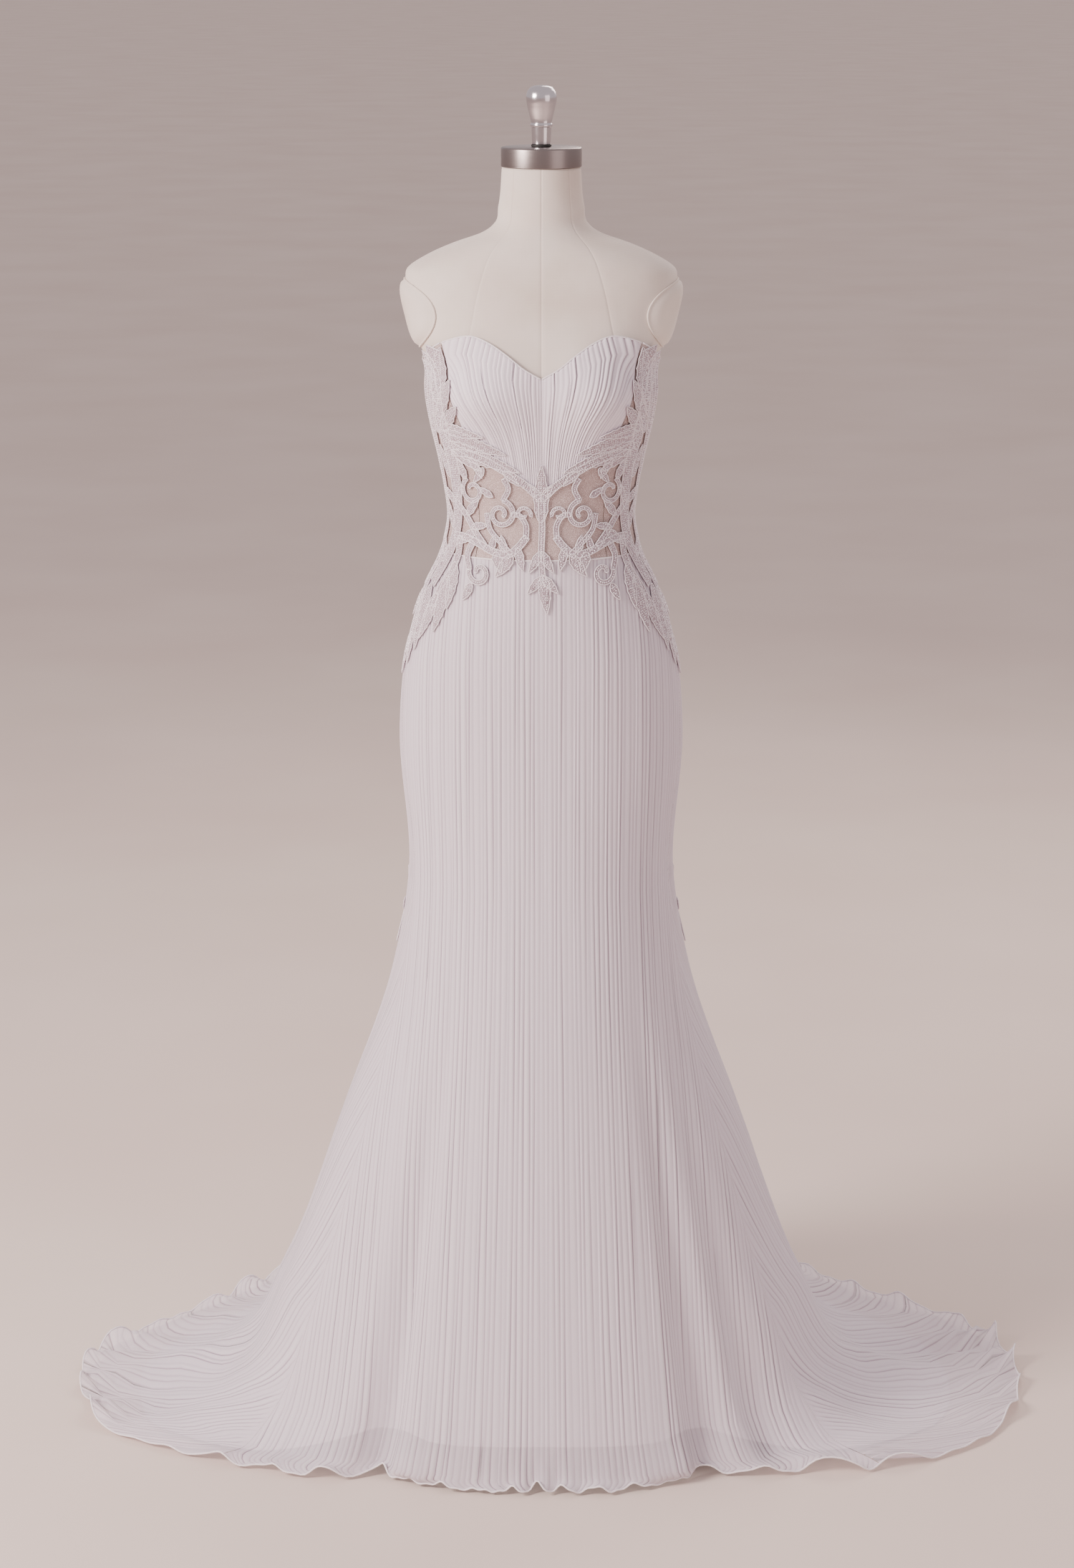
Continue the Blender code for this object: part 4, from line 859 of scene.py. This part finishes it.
def bodice_pieces():
    """Pleated cups, and mesh at the waist, the sides and the back."""
    made = {}

    for side, word in ((-1, "left"), (1, "right")):
        made[f"cup {word}"] = pleated_cup(side, word)

    def waist(p, s):
        angles = (2 * p - 1) * (CUP_EDGE_LOW - 0.2)
        top = straight_column(FRONT_V, np.abs(angles)) - 0.0006
        return body_point(angles, WAIST_SEAM + (top - WAIST_SEAM) * s, EASE)

    made["waist"] = grid_piece("waist_front_net", 60, 20, waist, "mesh",
                               ["waist_mesh_front"])

    def side_place(side):
        def place(p, s):
            low = SIDE_LOW_SHARE
            climb = np.clip((s - low) / (1 - low), 0.0, 1.0)
            front, front_heights = cup_column(CUP_EDGE_LOW + 0.4, CUP_EDGE_TOP + 0.4, climb)
            below_cup = WAIST_SEAM + (front_heights - WAIST_SEAM) * s / low
            front_heights = np.where(s < low, below_cup, front_heights)
            share = (front_heights - WAIST_SEAM) / (neckline([CUP_EDGE_TOP + 0.4])[0] - WAIST_SEAM)
            angles = front + (SIDE_BACK - 0.1 - front) * p
            return body_point(side * angles, WAIST_SEAM + (neckline(angles) - WAIST_SEAM) * share, EASE)

        return place

    def back_place(side):
        def place(p, s):
            angles = SIDE_BACK + 0.1 + p * (179.9 - SIDE_BACK - 0.1)
            return body_point(side * angles, WAIST_SEAM + (neckline(angles) - WAIST_SEAM) * s, EASE)

        return place

    for side, word in ((-1, "left"), (1, "right")):
        made[f"side {word}"] = grid_piece(f"bodice_side_{word}_net", 40, 50, side_place(side), "mesh",
                                          [f"bodice_side_{word}"])
        made[f"back {word}"] = grid_piece(f"bodice_back_{word}_net", 60, 40, back_place(side), "mesh",
                                          [f"bodice_back_{word}"])
    return made


def tube(bm, points, radius, sides=6, closed=False):
    """Sweeps a round section along a run of points; the radius may change from point to point."""
    points = np.asarray(points, float)
    count = len(points)
    if closed:
        points = np.concatenate([points, points[:1]])
        ahead = np.roll(points[:-1], -1, axis=0) - np.roll(points[:-1], 1, axis=0)
        ahead = np.concatenate([ahead, ahead[:1]])
    else:
        ahead = np.gradient(points, axis=0)
    ahead /= np.maximum(np.linalg.norm(ahead, axis=1, keepdims=True), 1e-9)
    outward = points * np.array([1.0, 1.0, 0.0])
    outward = outward / np.maximum(np.linalg.norm(outward, axis=1, keepdims=True), 1e-9)
    outward = outward + np.array([0, 0, 0.01])
    across = np.cross(ahead, outward)
    across /= np.maximum(np.linalg.norm(across, axis=1, keepdims=True), 1e-9)
    outward = np.cross(across, ahead)
    radii = np.broadcast_to(np.asarray(radius, float), (count,))
    radii = np.concatenate([radii, radii[:1]]) if closed else radii
    made = bmesh.ops.create_grid(bm, x_segments=len(points) - 1, y_segments=sides, size=0.5)["verts"]
    for vert in made:
        i = round((vert.co.x + 0.5) * (len(points) - 1))
        turn = 2 * math.pi * round((vert.co.y + 0.5) * sides) / sides
        offset = radii[i] * (math.cos(turn) * across[i] + math.sin(turn) * outward[i])
        vert.co = points[i] + offset
    bmesh.ops.remove_doubles(bm, verts=made, dist=1e-6)


def finish_tubes(name, bm, finish, replaces=()):
    bmesh.ops.holes_fill(bm, edges=bm.edges, sides=8)
    bmesh.ops.recalc_face_normals(bm, faces=bm.faces)
    return add_piece(name, bm, finish, replaces)


def edge_trims():
    """The rolled hem, the piped neckline and waist, and the seams' stitches."""
    bm = bmesh.new()
    hem = SKIRT[-1, :-1:2]
    tube(bm, hem + np.array([0, 0, 0.0004]), 0.0012, 6, True)
    rolled = finish_tubes("rolled_hem", bm, "satin")
    bm = bmesh.new()
    for side in (-1, 1):
        angles = np.linspace(CUP_EDGE_TOP + 0.6, 179.6, 110)
        tube(bm, body_point(side * angles, neckline(angles), EASE + 0.0002), 0.0011)
        angles = np.linspace(0.3, CUP_EDGE_TOP, 60)
        tube(bm, body_point(side * angles, neckline(angles) - 0.0002, EASE - 0.0002), 0.0010)
    angles = np.linspace(-180.0, 180.0, 240)[:-1]
    tube(bm, body_point(angles, np.full_like(angles, WAIST_SEAM), EASE + 0.0002), 0.0010, 6, True)
    piping = finish_tubes("neckline_and_waist_piping", bm, "satin")
    bm = bmesh.new()
    for side in (-1, 1):
        seam = np.interp(ROWS, np.arange(STATIONS), SIDE_SEAM)
        at = np.linspace(1.0, len(ROWS) - 6.0, 330)
        angles = side * np.interp(at, np.arange(len(ROWS)), seam)
        points, out = on_rows(SKIRT, SKIRT_NORMALS, at, angles)
        stitches(bm, points + 0.0002 * out)
    levels = np.linspace(1.236, 1.368, 46)
    stitches(bm, body_point(np.zeros_like(levels), levels, EASE + 0.0003))
    sewing = add_piece("seam_stitches", bm, "cord", smooth=False)
    return rolled, piping, sewing


def stitches(bm, points):
    """Short threads from each point most of the way to the next."""
    for first, second in zip(points, points[1:]):
        first, second = Vector(first), Vector(second)
        ahead = second - first
        turn = ahead.to_track_quat("Z", "Y").to_matrix().to_4x4()
        place = Matrix.Translation(first + 0.35 * ahead) @ turn @ Matrix.Diagonal((1, 1, 0.62, 1))
        bmesh.ops.create_cone(bm, cap_ends=True, segments=4, radius1=0.00028, radius2=0.00028,
                              depth=ahead.length, matrix=place)


def leaf(root, heading, length, width, curl=0.0, lobes=5):
    """Outline and midrib of a pointed leaf with a lobed edge, from its root towards its tip."""
    turn = math.radians(heading)
    ahead = np.array([math.cos(turn), math.sin(turn)])
    aside = np.array([-math.sin(turn), math.cos(turn)])
    share = np.linspace(0.0, 1.0, 4 * lobes + 1)
    half = width / 2 * np.sin(math.pi * np.clip(share, 0, 1) ** 0.75) ** 0.8
    half = half * (1.0 - 0.16 * np.abs(np.sin(math.pi * lobes * share)) ** 0.7) + 0.08 * width * (1 - share)
    rib = np.array(root) + length * share[:, None] * ahead + (curl * length * share**2)[:, None] * aside
    left, right = rib + half[:, None] * aside, rib - half[:, None] * aside
    return np.concatenate([left[:-1], rib[-1:], right[-2::-1]]), rib[1:-1]


def ribbon(curve, widths):
    """Outline and midline of a ribbon with the given widths along a run of points."""
    ahead = np.gradient(curve, axis=0)
    ahead /= np.linalg.norm(ahead, axis=1, keepdims=True)
    across = np.stack([-ahead[:, 1], ahead[:, 0]], axis=1) * (np.asarray(widths) / 2)[:, None]
    return np.concatenate([curve + across, (curve - across)[::-1]]), curve


def vine(points, width, tip=0.6):
    """A ribbon along a smooth curve through the points, narrowing towards its end."""
    knots = np.array(points, float)
    steps = np.concatenate([[0.0], np.cumsum(np.linalg.norm(np.diff(knots, axis=0), axis=1))])
    count = max(6, int(steps[-1] / 0.004))
    curve = smooth_between(steps, knots, np.linspace(0.0, steps[-1], count + 1))
    return ribbon(curve, np.linspace(width, width * tip, count + 1))


def scroll(centre, outer, inner, start, turns, width):
    """A ribbon that winds in from the outer to the inner radius; turns may be negative."""
    count = max(14, int(abs(turns) * 26))
    share = np.linspace(0.0, 1.0, count + 1)
    turn = np.radians(start) + 2 * math.pi * turns * share
    radius = outer + (inner - outer) * share
    curve = np.stack([centre[0] + radius * np.cos(turn), centre[1] + radius * np.sin(turn)], axis=1)
    return ribbon(curve, width * (1.0 - 0.25 * share))


def side_lace():
    """Lace of one side, from the bust round to the hip, in arc length from the centre front and height."""
    return [
        # beaded side of the bust, from the top edge down, laid like feathers
        vine([(0.142, 1.406), (0.148, 1.380), (0.152, 1.350), (0.147, 1.325), (0.135, 1.300), (0.123, 1.270),
              (0.117, 1.240), (0.116, 1.205), (0.122, 1.170), (0.138, 1.140), (0.158, 1.110)], 0.024, 0.6),
        vine([(0.160, 1.398), (0.168, 1.375), (0.171, 1.345), (0.166, 1.310), (0.157, 1.265), (0.151, 1.215),
              (0.155, 1.170), (0.172, 1.120), (0.190, 1.070), (0.204, 1.020)], 0.016, 0.6),
        vine([(0.178, 1.388), (0.184, 1.350), (0.180, 1.300), (0.170, 1.250), (0.166, 1.205), (0.170, 1.160)],
             0.012, 0.7),
        leaf((0.146, 1.352), 104, 0.058, 0.026, 0.05),
        leaf((0.150, 1.338), 84, 0.062, 0.026),
        leaf((0.160, 1.350), 88, 0.044, 0.020),
        leaf((0.150, 1.322), 122, 0.056, 0.022),
        leaf((0.160, 1.320), 92, 0.060, 0.022),
        leaf((0.140, 1.305), 132, 0.046, 0.020),
        leaf((0.150, 1.300), 100, 0.050, 0.020),
        leaf((0.132, 1.280), 84, 0.050, 0.020),
        leaf((0.128, 1.245), 62, 0.044, 0.014),
        leaf((0.120, 1.215), 22, 0.040, 0.011),
        leaf((0.126, 1.180), 60, 0.044, 0.012),
        leaf((0.138, 1.145), 40, 0.050, 0.014),
        # sprays under the bust, in three tiers
        leaf((0.138, 1.309), 184, 0.068, 0.015, 0.04, 7),
        leaf((0.134, 1.302), 190, 0.094, 0.019, 0.06, 9),
        leaf((0.127, 1.288), 192, 0.106, 0.019, 0.08, 10),
        leaf((0.120, 1.280), 200, 0.052, 0.012, 0.10, 5),
        # the ribbon along the V edge
        vine([(0.121, 1.277), (0.098, 1.279), (0.072, 1.273), (0.046, 1.260), (0.028, 1.249), (0.013, 1.237),
              (0.006, 1.229)], 0.009, 0.9),
        leaf((0.046, 1.258), 215, 0.026, 0.008, 0.1, 2),
        leaf((0.090, 1.274), 232, 0.030, 0.010, 0.1, 3),
        # scrolls of the waist
        scroll((0.050, 1.205), 0.018, 0.004, 100, 1.35, 0.0055),
        vine([(0.046, 1.250), (0.040, 1.238), (0.047, 1.222)], 0.006, 0.9),
        vine([(0.068, 1.205), (0.064, 1.186), (0.050, 1.170), (0.036, 1.156)], 0.006, 0.9),
        scroll((0.088, 1.232), 0.017, 0.006, 60, -1.1, 0.0055),
        leaf((0.098, 1.246), 62, 0.028, 0.010, 0.0, 3),
        leaf((0.072, 1.262), -60, 0.024, 0.009, 0.1, 3),
        leaf((0.060, 1.226), 30, 0.022, 0.008, 0.0, 3),
        vine([(0.104, 1.236), (0.112, 1.222), (0.118, 1.205)], 0.007, 1.0),
        vine([(0.117, 1.215), (0.100, 1.200), (0.084, 1.180), (0.070, 1.164)], 0.008, 0.9),
        leaf((0.098, 1.200), 130, 0.030, 0.010, 0.0, 3),
        leaf((0.084, 1.182), -35, 0.034, 0.011, 0.0, 3),
        leaf((0.090, 1.186), 170, 0.024, 0.009, 0.0, 3),
        # the row of curls over the skirt seam
        vine([(0.0175, 1.178), (0.026, 1.167), (0.040, 1.156), (0.058, 1.158), (0.078, 1.166), (0.100, 1.172),
              (0.122, 1.172)], 0.008, 1.0),
        vine([(0.0185, 1.176), (0.019, 1.194), (0.028, 1.205), (0.036, 1.205)], 0.006, 0.9),
        scroll((0.022, 1.206), 0.010, 0.003, 200, -1.0, 0.004),
        leaf((0.036, 1.156), -62, 0.034, 0.013, 0.15, 4),
        leaf((0.028, 1.164), -96, 0.028, 0.010, -0.1, 3),
        leaf((0.056, 1.158), -100, 0.026, 0.012, -0.1, 3),
        leaf((0.044, 1.158), 70, 0.022, 0.009, 0.1, 3),
        leaf((0.062, 1.160), 100, 0.020, 0.008, 0.1, 3),
        vine([(0.088, 1.168), (0.096, 1.150), (0.092, 1.134)], 0.008, 0.9),
        scroll((0.078, 1.132), 0.015, 0.004, 10, -1.05, 0.006),
        leaf((0.088, 1.118), -60, 0.024, 0.010, 0.0, 3),
        vine([(0.110, 1.172), (0.112, 1.150), (0.122, 1.128), (0.140, 1.104), (0.150, 1.080)], 0.010, 0.6),
        # hip sprays
        leaf((0.116, 1.140), -88, 0.056, 0.016, 0.10, 5),
        leaf((0.126, 1.122), -80, 0.070, 0.018, 0.08, 6),
        leaf((0.142, 1.100), -66, 0.066, 0.016, 0.05, 6),
        leaf((0.160, 1.108), -74, 0.084, 0.019, -0.04, 8),
        leaf((0.176, 1.100), -40, 0.060, 0.014),
        leaf((0.184, 1.085), -80, 0.080, 0.017, 0.0, 7),
        leaf((0.198, 1.045), -66, 0.060, 0.014),
        leaf((0.150, 1.150), -50, 0.060, 0.014, 0.0, 6),
    ]


def centre_lace():
    """The leaf and drop at the centre front."""
    return [
        leaf((0.0, 1.196), 90, 0.072, 0.017, 0.0, 5),
        leaf((0.0, 1.222), 58, 0.026, 0.009, 0.0, 2),
        leaf((0.0, 1.222), 122, 0.026, 0.009, 0.0, 2),
        vine([(0.0, 1.226), (0.001, 1.190), (0.0, 1.150), (0.003, 1.120)], 0.007, 0.9),
        leaf((0.0, 1.160), -60, 0.030, 0.010, 0.0, 3),
        leaf((0.0, 1.160), -120, 0.030, 0.010, 0.0, 3),
        leaf((0.002, 1.132), -84, 0.048, 0.014, 0.0, 5),
        leaf((0.002, 1.130), -48, 0.028, 0.010, 0.0, 3),
        leaf((0.002, 1.130), -132, 0.028, 0.010, 0.0, 3),
    ]


def knee_lace():
    """A climbing spray on the side back of the knee, in arc length from the centre front and height."""
    return [
        vine([(0.300, 0.765), (0.306, 0.730), (0.302, 0.690), (0.292, 0.655), (0.286, 0.630)], 0.008, 0.6),
        leaf((0.304, 0.740), 140, 0.046, 0.015),
        leaf((0.304, 0.740), 40, 0.046, 0.015),
        leaf((0.305, 0.705), 150, 0.050, 0.016),
        leaf((0.304, 0.705), 25, 0.050, 0.016),
        leaf((0.298, 0.672), 160, 0.040, 0.014),
        leaf((0.296, 0.668), 20, 0.044, 0.014),
        leaf((0.302, 0.755), 88, 0.040, 0.013),
    ]


def lace_ground(name, shapes, side, replaces):
    """The embroidered ground of a lace piece: its flat outlines joined, cut so that it bends, and laid on."""
    points, faces = [], []
    for outline, _ in shapes:
        area = np.sum(outline[:, 0] * np.roll(outline[:, 1], -1) - np.roll(outline[:, 0], -1) * outline[:, 1])
        run = outline if area > 0 else outline[::-1]
        faces.append(list(range(len(points), len(points) + len(run))))
        points.extend(Vector(point) for point in run)
    made = delaunay_2d_cdt(points, [], faces, 0, 1e-5, True)
    bm = bmesh.new()
    corners = [bm.verts.new((vert.x, vert.y, 0.0)) for vert in made[0]]
    for triangle, source in zip(made[2], made[5]):
        if source:
            bm.faces.new([corners[i] for i in triangle])
    bmesh.ops.delete(bm, geom=[vert for vert in bm.verts if not vert.link_faces], context="VERTS")
    for axis in (0, 1):
        low = min(vert.co[axis] for vert in bm.verts)
        high = max(vert.co[axis] for vert in bm.verts)
        for line in np.arange(low + 0.004, high, 0.008):
            spot = (line, 0, 0) if axis == 0 else (0, line, 0)
            bmesh.ops.bisect_plane(bm, geom=list(bm.verts) + list(bm.edges) + list(bm.faces), dist=1e-5,
                                   plane_co=spot, plane_no=(1, 0, 0) if axis == 0 else (0, 1, 0))
    bmesh.ops.triangulate(bm, faces=bm.faces)
    for vert in bm.verts:
        vert.co = figure_spot(side, vert.co.x, vert.co.y, 0.0013)
    face_outwards(bm)
    piece = add_piece(name, bm, "lace", replaces)
    wall = piece.modifiers.new("wall", "SOLIDIFY")
    wall.thickness = 0.0010
    wall.offset = 1
    return piece


def lace_cords(name, shapes, side):
    """The cords that outline each leaf and ribbon."""
    bm = bmesh.new()
    for outline, _ in shapes:
        step = max(1, round(0.0032 / np.linalg.norm(np.diff(outline, axis=0), axis=1).mean()))
        run = [figure_spot(side, x, y, 0.0023) for x, y in outline[::step]]
        tube(bm, run, 0.00072, 5, True)
    return finish_tubes(name, bm, "cord")


def lace_beads(name, shapes, side):
    """Glass beads in close rows beside each midrib, as far out as the outline."""
    bm = bmesh.new()
    taken = set()
    count = 0.0
    for outline, rib in shapes:
        ahead = np.gradient(rib, axis=0)
        ahead /= np.maximum(np.linalg.norm(ahead, axis=1, keepdims=True), 1e-9)
        lengths = np.concatenate([[0.0], np.cumsum(np.linalg.norm(np.diff(rib, axis=0), axis=1))])
        for at in np.arange(0.0012, lengths[-1], BEAD_STEP):
            middle = np.array([np.interp(at, lengths, rib[:, axis]) for axis in (0, 1)])
            heading = np.array([np.interp(at, lengths, ahead[:, axis]) for axis in (0, 1)])
            reach = np.linalg.norm(outline - middle, axis=1).min() - 0.0013
            for lane in range(-4, 5):
                count += 1.0
                chance = float(scatter(np.array(count), 3.0))
                if abs(lane) * BEAD_STEP > max(reach, 0.0004) or chance < 0.12:
                    continue
                off = (lane + 0.5 * (chance - 0.5)) * BEAD_STEP
                x, y = middle + off * np.array([-heading[1], heading[0]]) + 0.3 * BEAD_STEP * (chance - 0.5)
                cell = (round(x / BEAD_STEP), round(y / BEAD_STEP))
                if cell in taken:
                    continue
                taken.add(cell)
                spot = figure_spot(side, x, y, 0.0024)
                bmesh.ops.create_icosphere(bm, subdivisions=1, radius=0.00075 + 0.0004 * chance,
                                           matrix=Matrix.Translation(spot))
    return add_piece(name, bm, "beads")


def lace_pieces():
    made = []
    for side, word in ((-1, "left"), (1, "right")):
        for kind, shapes in (("side", side_lace()), ("knee", knee_lace())):
            name = f"lace_{kind}_{word}"
            made.append(lace_ground(name + "_ground", shapes, side, [name]))
            made.append(lace_cords(name + "_cords", shapes, side))
            made.append(lace_beads(name + "_beads", shapes, side))
    shapes = centre_lace()
    made.append(lace_ground("lace_centre_ground", shapes, 1, ["lace_centre"]))
    made.append(lace_cords("lace_centre_cords", shapes, 1))
    made.append(lace_beads("lace_centre_beads", shapes, 1))
    return made


def torso():
    """The padded form, with a shallow groove at each of its seams."""
    seams = (0.0, 44.0, -44.0, 92.0, -92.0, 140.0, -140.0, 180.0)
    angles = set(np.arange(-180.0, 180.0, 3.0).tolist())
    for seam in seams:
        angles = {angle for angle in angles if abs(wrapped(angle - seam)) > 1.4}
        angles |= {float(wrapped(seam + step)) for step in (-0.9, -0.35, 0.0, 0.35, 0.9)}
    angles = np.array(sorted(angles))
    levels = np.concatenate([np.linspace(0.8200, 1.4820, 84), np.linspace(1.4880, 1.6170, 36)])
    bm = bmesh.new()
    bmesh.ops.create_grid(bm, x_segments=len(angles), y_segments=len(levels) - 1, size=0.5)
    columns = np.array([round((vert.co.x + 0.5) * len(angles)) % len(angles) for vert in bm.verts])
    rows = np.array([round((vert.co.y + 0.5) * (len(levels) - 1)) for vert in bm.verts])
    groove = np.array([min(abs(float(wrapped(angle - seam))) for seam in seams) for angle in angles])
    depth = 0.0006 * np.exp(-(groove / 0.4) ** 2)
    at, height = angles[columns], levels[rows]
    neck = 0.0006 * np.exp(-((height - 1.5445) / 0.0016) ** 2)
    for vert, point in zip(bm.verts, body_point(at, height, -depth[columns] - neck)):
        vert.co = point
    bmesh.ops.remove_doubles(bm, verts=bm.verts, dist=1e-5)
    bmesh.ops.holes_fill(bm, edges=bm.edges, sides=0)
    bmesh.ops.recalc_face_normals(bm, faces=bm.faces)
    return add_piece("form_torso_linen", bm, "linen", ["form_torso"])


def arm_plates():
    """Oval plates over the form's armholes, padded and piped round the edge."""
    made = []
    for side, word in ((-1, "left"), (1, "right")):
        bm = bmesh.new()
        bmesh.ops.create_circle(bm, cap_ends=True, cap_tris=True, segments=48, radius=1.0)
        bmesh.ops.subdivide_edges(bm, edges=[e for e in bm.edges if not e.is_boundary], cuts=9)
        for vert in bm.verts:
            reach = min(1.0, vert.co.length)
            angle = side * (90.0 + 27.0 * vert.co.x)
            dome = 0.0062 * math.sqrt(max(0.0, 1.0 - reach**6))
            height = 1.4410 + 0.0410 * vert.co.y
            vert.co = body_point(np.array(angle), np.array(height), 0.0010 + dome)
        bm.normal_update()
        if sum(face.normal.x * side for face in bm.faces) < 0:
            bmesh.ops.reverse_faces(bm, faces=bm.faces)
        rim = np.radians(np.arange(0, 360, 6))
        edge = body_point(side * (90.0 + 27.2 * np.cos(rim)), 1.4410 + 0.0413 * np.sin(rim), 0.0012)
        tube(bm, edge, 0.0013, 6, True)
        bmesh.ops.recalc_face_normals(bm, faces=bm.faces)
        made.append(add_piece(f"form_arm_plate_{word}_cover", bm, "linen",
                              [f"form_arm_plate_{word}"]))
    return made


def turned(name, profile, finish, replaces, steps=64):
    """A turned piece: profile points are radius and height, from the top centre down its outer side."""
    bm = bmesh.new()
    verts = [bm.verts.new((radius, 0.0, height)) for radius, height in profile]
    edges = [bm.edges.new(pair) for pair in zip(verts, verts[1:])]
    bmesh.ops.spin(bm, geom=verts + edges, cent=(0, 0, 0), axis=(0, 0, 1), angle=2 * math.pi, steps=steps,
                   use_merge=True)
    bmesh.ops.remove_doubles(bm, verts=bm.verts, dist=1e-6)
    bmesh.ops.recalc_face_normals(bm, faces=bm.faces)
    piece = add_piece(name, bm, finish, replaces)
    piece.data.set_sharp_from_angle(angle=math.radians(38))
    return piece


def hardware():
    """Neck cap, washer and finial, and finishes for the stand below."""
    cap = 0.0492
    turned("form_neck_cap_brushed", [
        (0.0, 1.6411), (0.0474, 1.6411), (0.0484, 1.6407), (0.0490, 1.6400), (cap, 1.6390), (cap, 1.6180),
        (0.0488, 1.6176), (0.0, 1.6176)], "steel", ["form_neck_cap"])
    turned("form_washer_rubber", [
        (0.0, 1.6444), (0.0112, 1.6444), (0.0122, 1.6438), (0.0125, 1.6427), (0.0123, 1.6416), (0.0, 1.6414)],
        "rubber", ["form_washer"])
    start, tall = 1.6447, 0.0700
    table = ((1.0, 0.0), (0.996, 0.0048), (0.985, 0.0090), (0.93, 0.0150), (0.85, 0.0180), (0.77, 0.0186),
             (0.64, 0.0172), (0.47, 0.0143), (0.36, 0.0126))
    at = np.linspace(1.0, 0.36, 30) ** 0.8
    at = np.unique(np.clip(np.concatenate([at, [0.999, 0.996, 0.992, 0.36]]), 0.36, 1.0))[::-1]
    shares = [(float(r), float(a)) for a, r in zip(at, smooth_columns(table, at)[:, 0])]
    shares += [(0.0127, 0.352), (0.0133, 0.343), (0.0135, 0.330), (0.0135, 0.305), (0.0133, 0.295),
               (0.0122, 0.285), (0.0120, 0.20), (0.0117, 0.08), (0.0114, 0.0), (0.0, 0.0)]
    shares[0] = (0.0, 1.0)
    turned("form_finial_polished", [(max(r, 0.0), start + tall * share) for r, share in shares], "aluminium",
           ["form_finial"])
    for name in ("stand_pole", "stand_base"):
        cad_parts[name].material_slots[0].material = MATERIALS["steel"]


def placket_and_buttons():
    """The strip over the centre-back seam, its covered buttons and their loops."""
    low, top = WAIST_SEAM + 0.004, float(neckline([180.0])[0]) - 0.003

    def strip(p, s):
        angles = 180.0 + np.degrees((2 * p - 1) * 0.0110 / 0.10)
        edge = np.clip(np.minimum(p, 1 - p) * 12, 0.0, 1.0)
        return body_point(wrapped(angles), low + (top - low) * s, EASE + 0.0014 + 0.0010 * edge)

    strip_piece = grid_piece("back_placket_strip", 16, 60, strip, "satin",
                             ["back_placket"], 0.0006)
    bm = bmesh.new()
    loops = bmesh.new()
    for number in range(BUTTONS):
        height = low + (top - low) * (number + 0.6) / 10.2
        out = float(body_radius(180.0, height)) + EASE + 0.0026
        for radius, rise in ((0.0055, 0.0), (0.0050, 0.0016), (0.0036, 0.0028)):
            bmesh.ops.create_uvsphere(
                bm, u_segments=16, v_segments=8, radius=radius,
                matrix=Matrix.Translation((0, out + rise, height)) @ Matrix.Diagonal((1, 0.28, 1, 1)))
        turn = np.linspace(0.5 * math.pi, 1.5 * math.pi, 12)
        arc = np.stack([0.0070 * np.cos(turn), np.full(12, out + 0.0008), height + 0.0064 * np.sin(turn)], 1)
        tube(loops, arc, 0.0006, 5)
    buttons = add_piece("covered_buttons", bm, "satin",
                        [f"button_{number:02d}" for number in range(1, BUTTONS + 1)])
    button_loops = finish_tubes("button_loops", loops, "cord")
    return strip_piece, buttons, button_loops


def stage_and_light():
    """A plain pale floor, soft studio light and the camera at the photograph's angle."""
    bm = bmesh.new()
    bmesh.ops.create_grid(bm, x_segments=1, y_segments=1, size=130.0)
    mesh = bpy.data.meshes.new("floor")
    bm.to_mesh(mesh)
    bm.free()
    floor = bpy.data.objects.new("floor", mesh)
    bpy.context.scene.collection.objects.link(floor)
    made, shader = material("matt_studio_floor", "#E3D2C8", Roughness=0.9)
    place = node(made, "ShaderNodeTexCoord")
    cloud = node(made, "ShaderNodeTexNoise", {"Scale": 1.5, "Detail": 3.0}, Vector=place.outputs["Object"])
    link(made, ramp(made, cloud.outputs["Fac"], [(0.3, "#E0CEC4"), (0.7, "#E6D6CC")]), shader, "Base Color")
    mesh.materials.append(made)
    world = bpy.data.worlds.new("studio")
    world.use_nodes = True
    world.node_tree.nodes["Background"].inputs["Color"].default_value = srgb("#EDDFE1")
    world.node_tree.nodes["Background"].inputs["Strength"].default_value = 0.80
    bpy.context.scene.world = world
    for name, place, size, energy, colour in (
            ("key", (-3.0, -2.0, 2.6), 1.4, 250.0, "#FFF0EA"),
            ("fill", (2.8, -2.6, 1.8), 2.4, 24.0, "#F8E4E0"),
            ("rim", (1.2, 2.8, 3.0), 2.0, 60.0, "#FFEDE4")):
        lamp = bpy.data.lights.new(name, "AREA")
        lamp.size = size
        lamp.energy = energy
        lamp.color = srgb(colour)[:3]
        light = bpy.data.objects.new(name, lamp)
        light.location = place
        light.rotation_euler = (Vector((0, 0, 0.9)) - Vector(place)).to_track_quat("-Z", "Y").to_euler()
        bpy.context.scene.collection.objects.link(light)
    eye = bpy.data.cameras.new("camera")
    eye.lens = 78.19
    eye.sensor_width = 36.0
    camera = bpy.data.objects.new("camera", eye)
    camera.location = (-0.0053, -4.20, 1.90)
    camera.rotation_euler = (math.radians(90.0 - 14.126), 0.0, 0.0)
    bpy.context.scene.collection.objects.link(camera)
    bpy.context.scene.camera = camera


stage_and_light()
torso()
arm_plates()
hardware()
bodice = bodice_pieces()
strip, _, _ = placket_and_buttons()
slips = slip_panels()
skirt = skirt_panels()
edge_trims()
lace = lace_pieces()
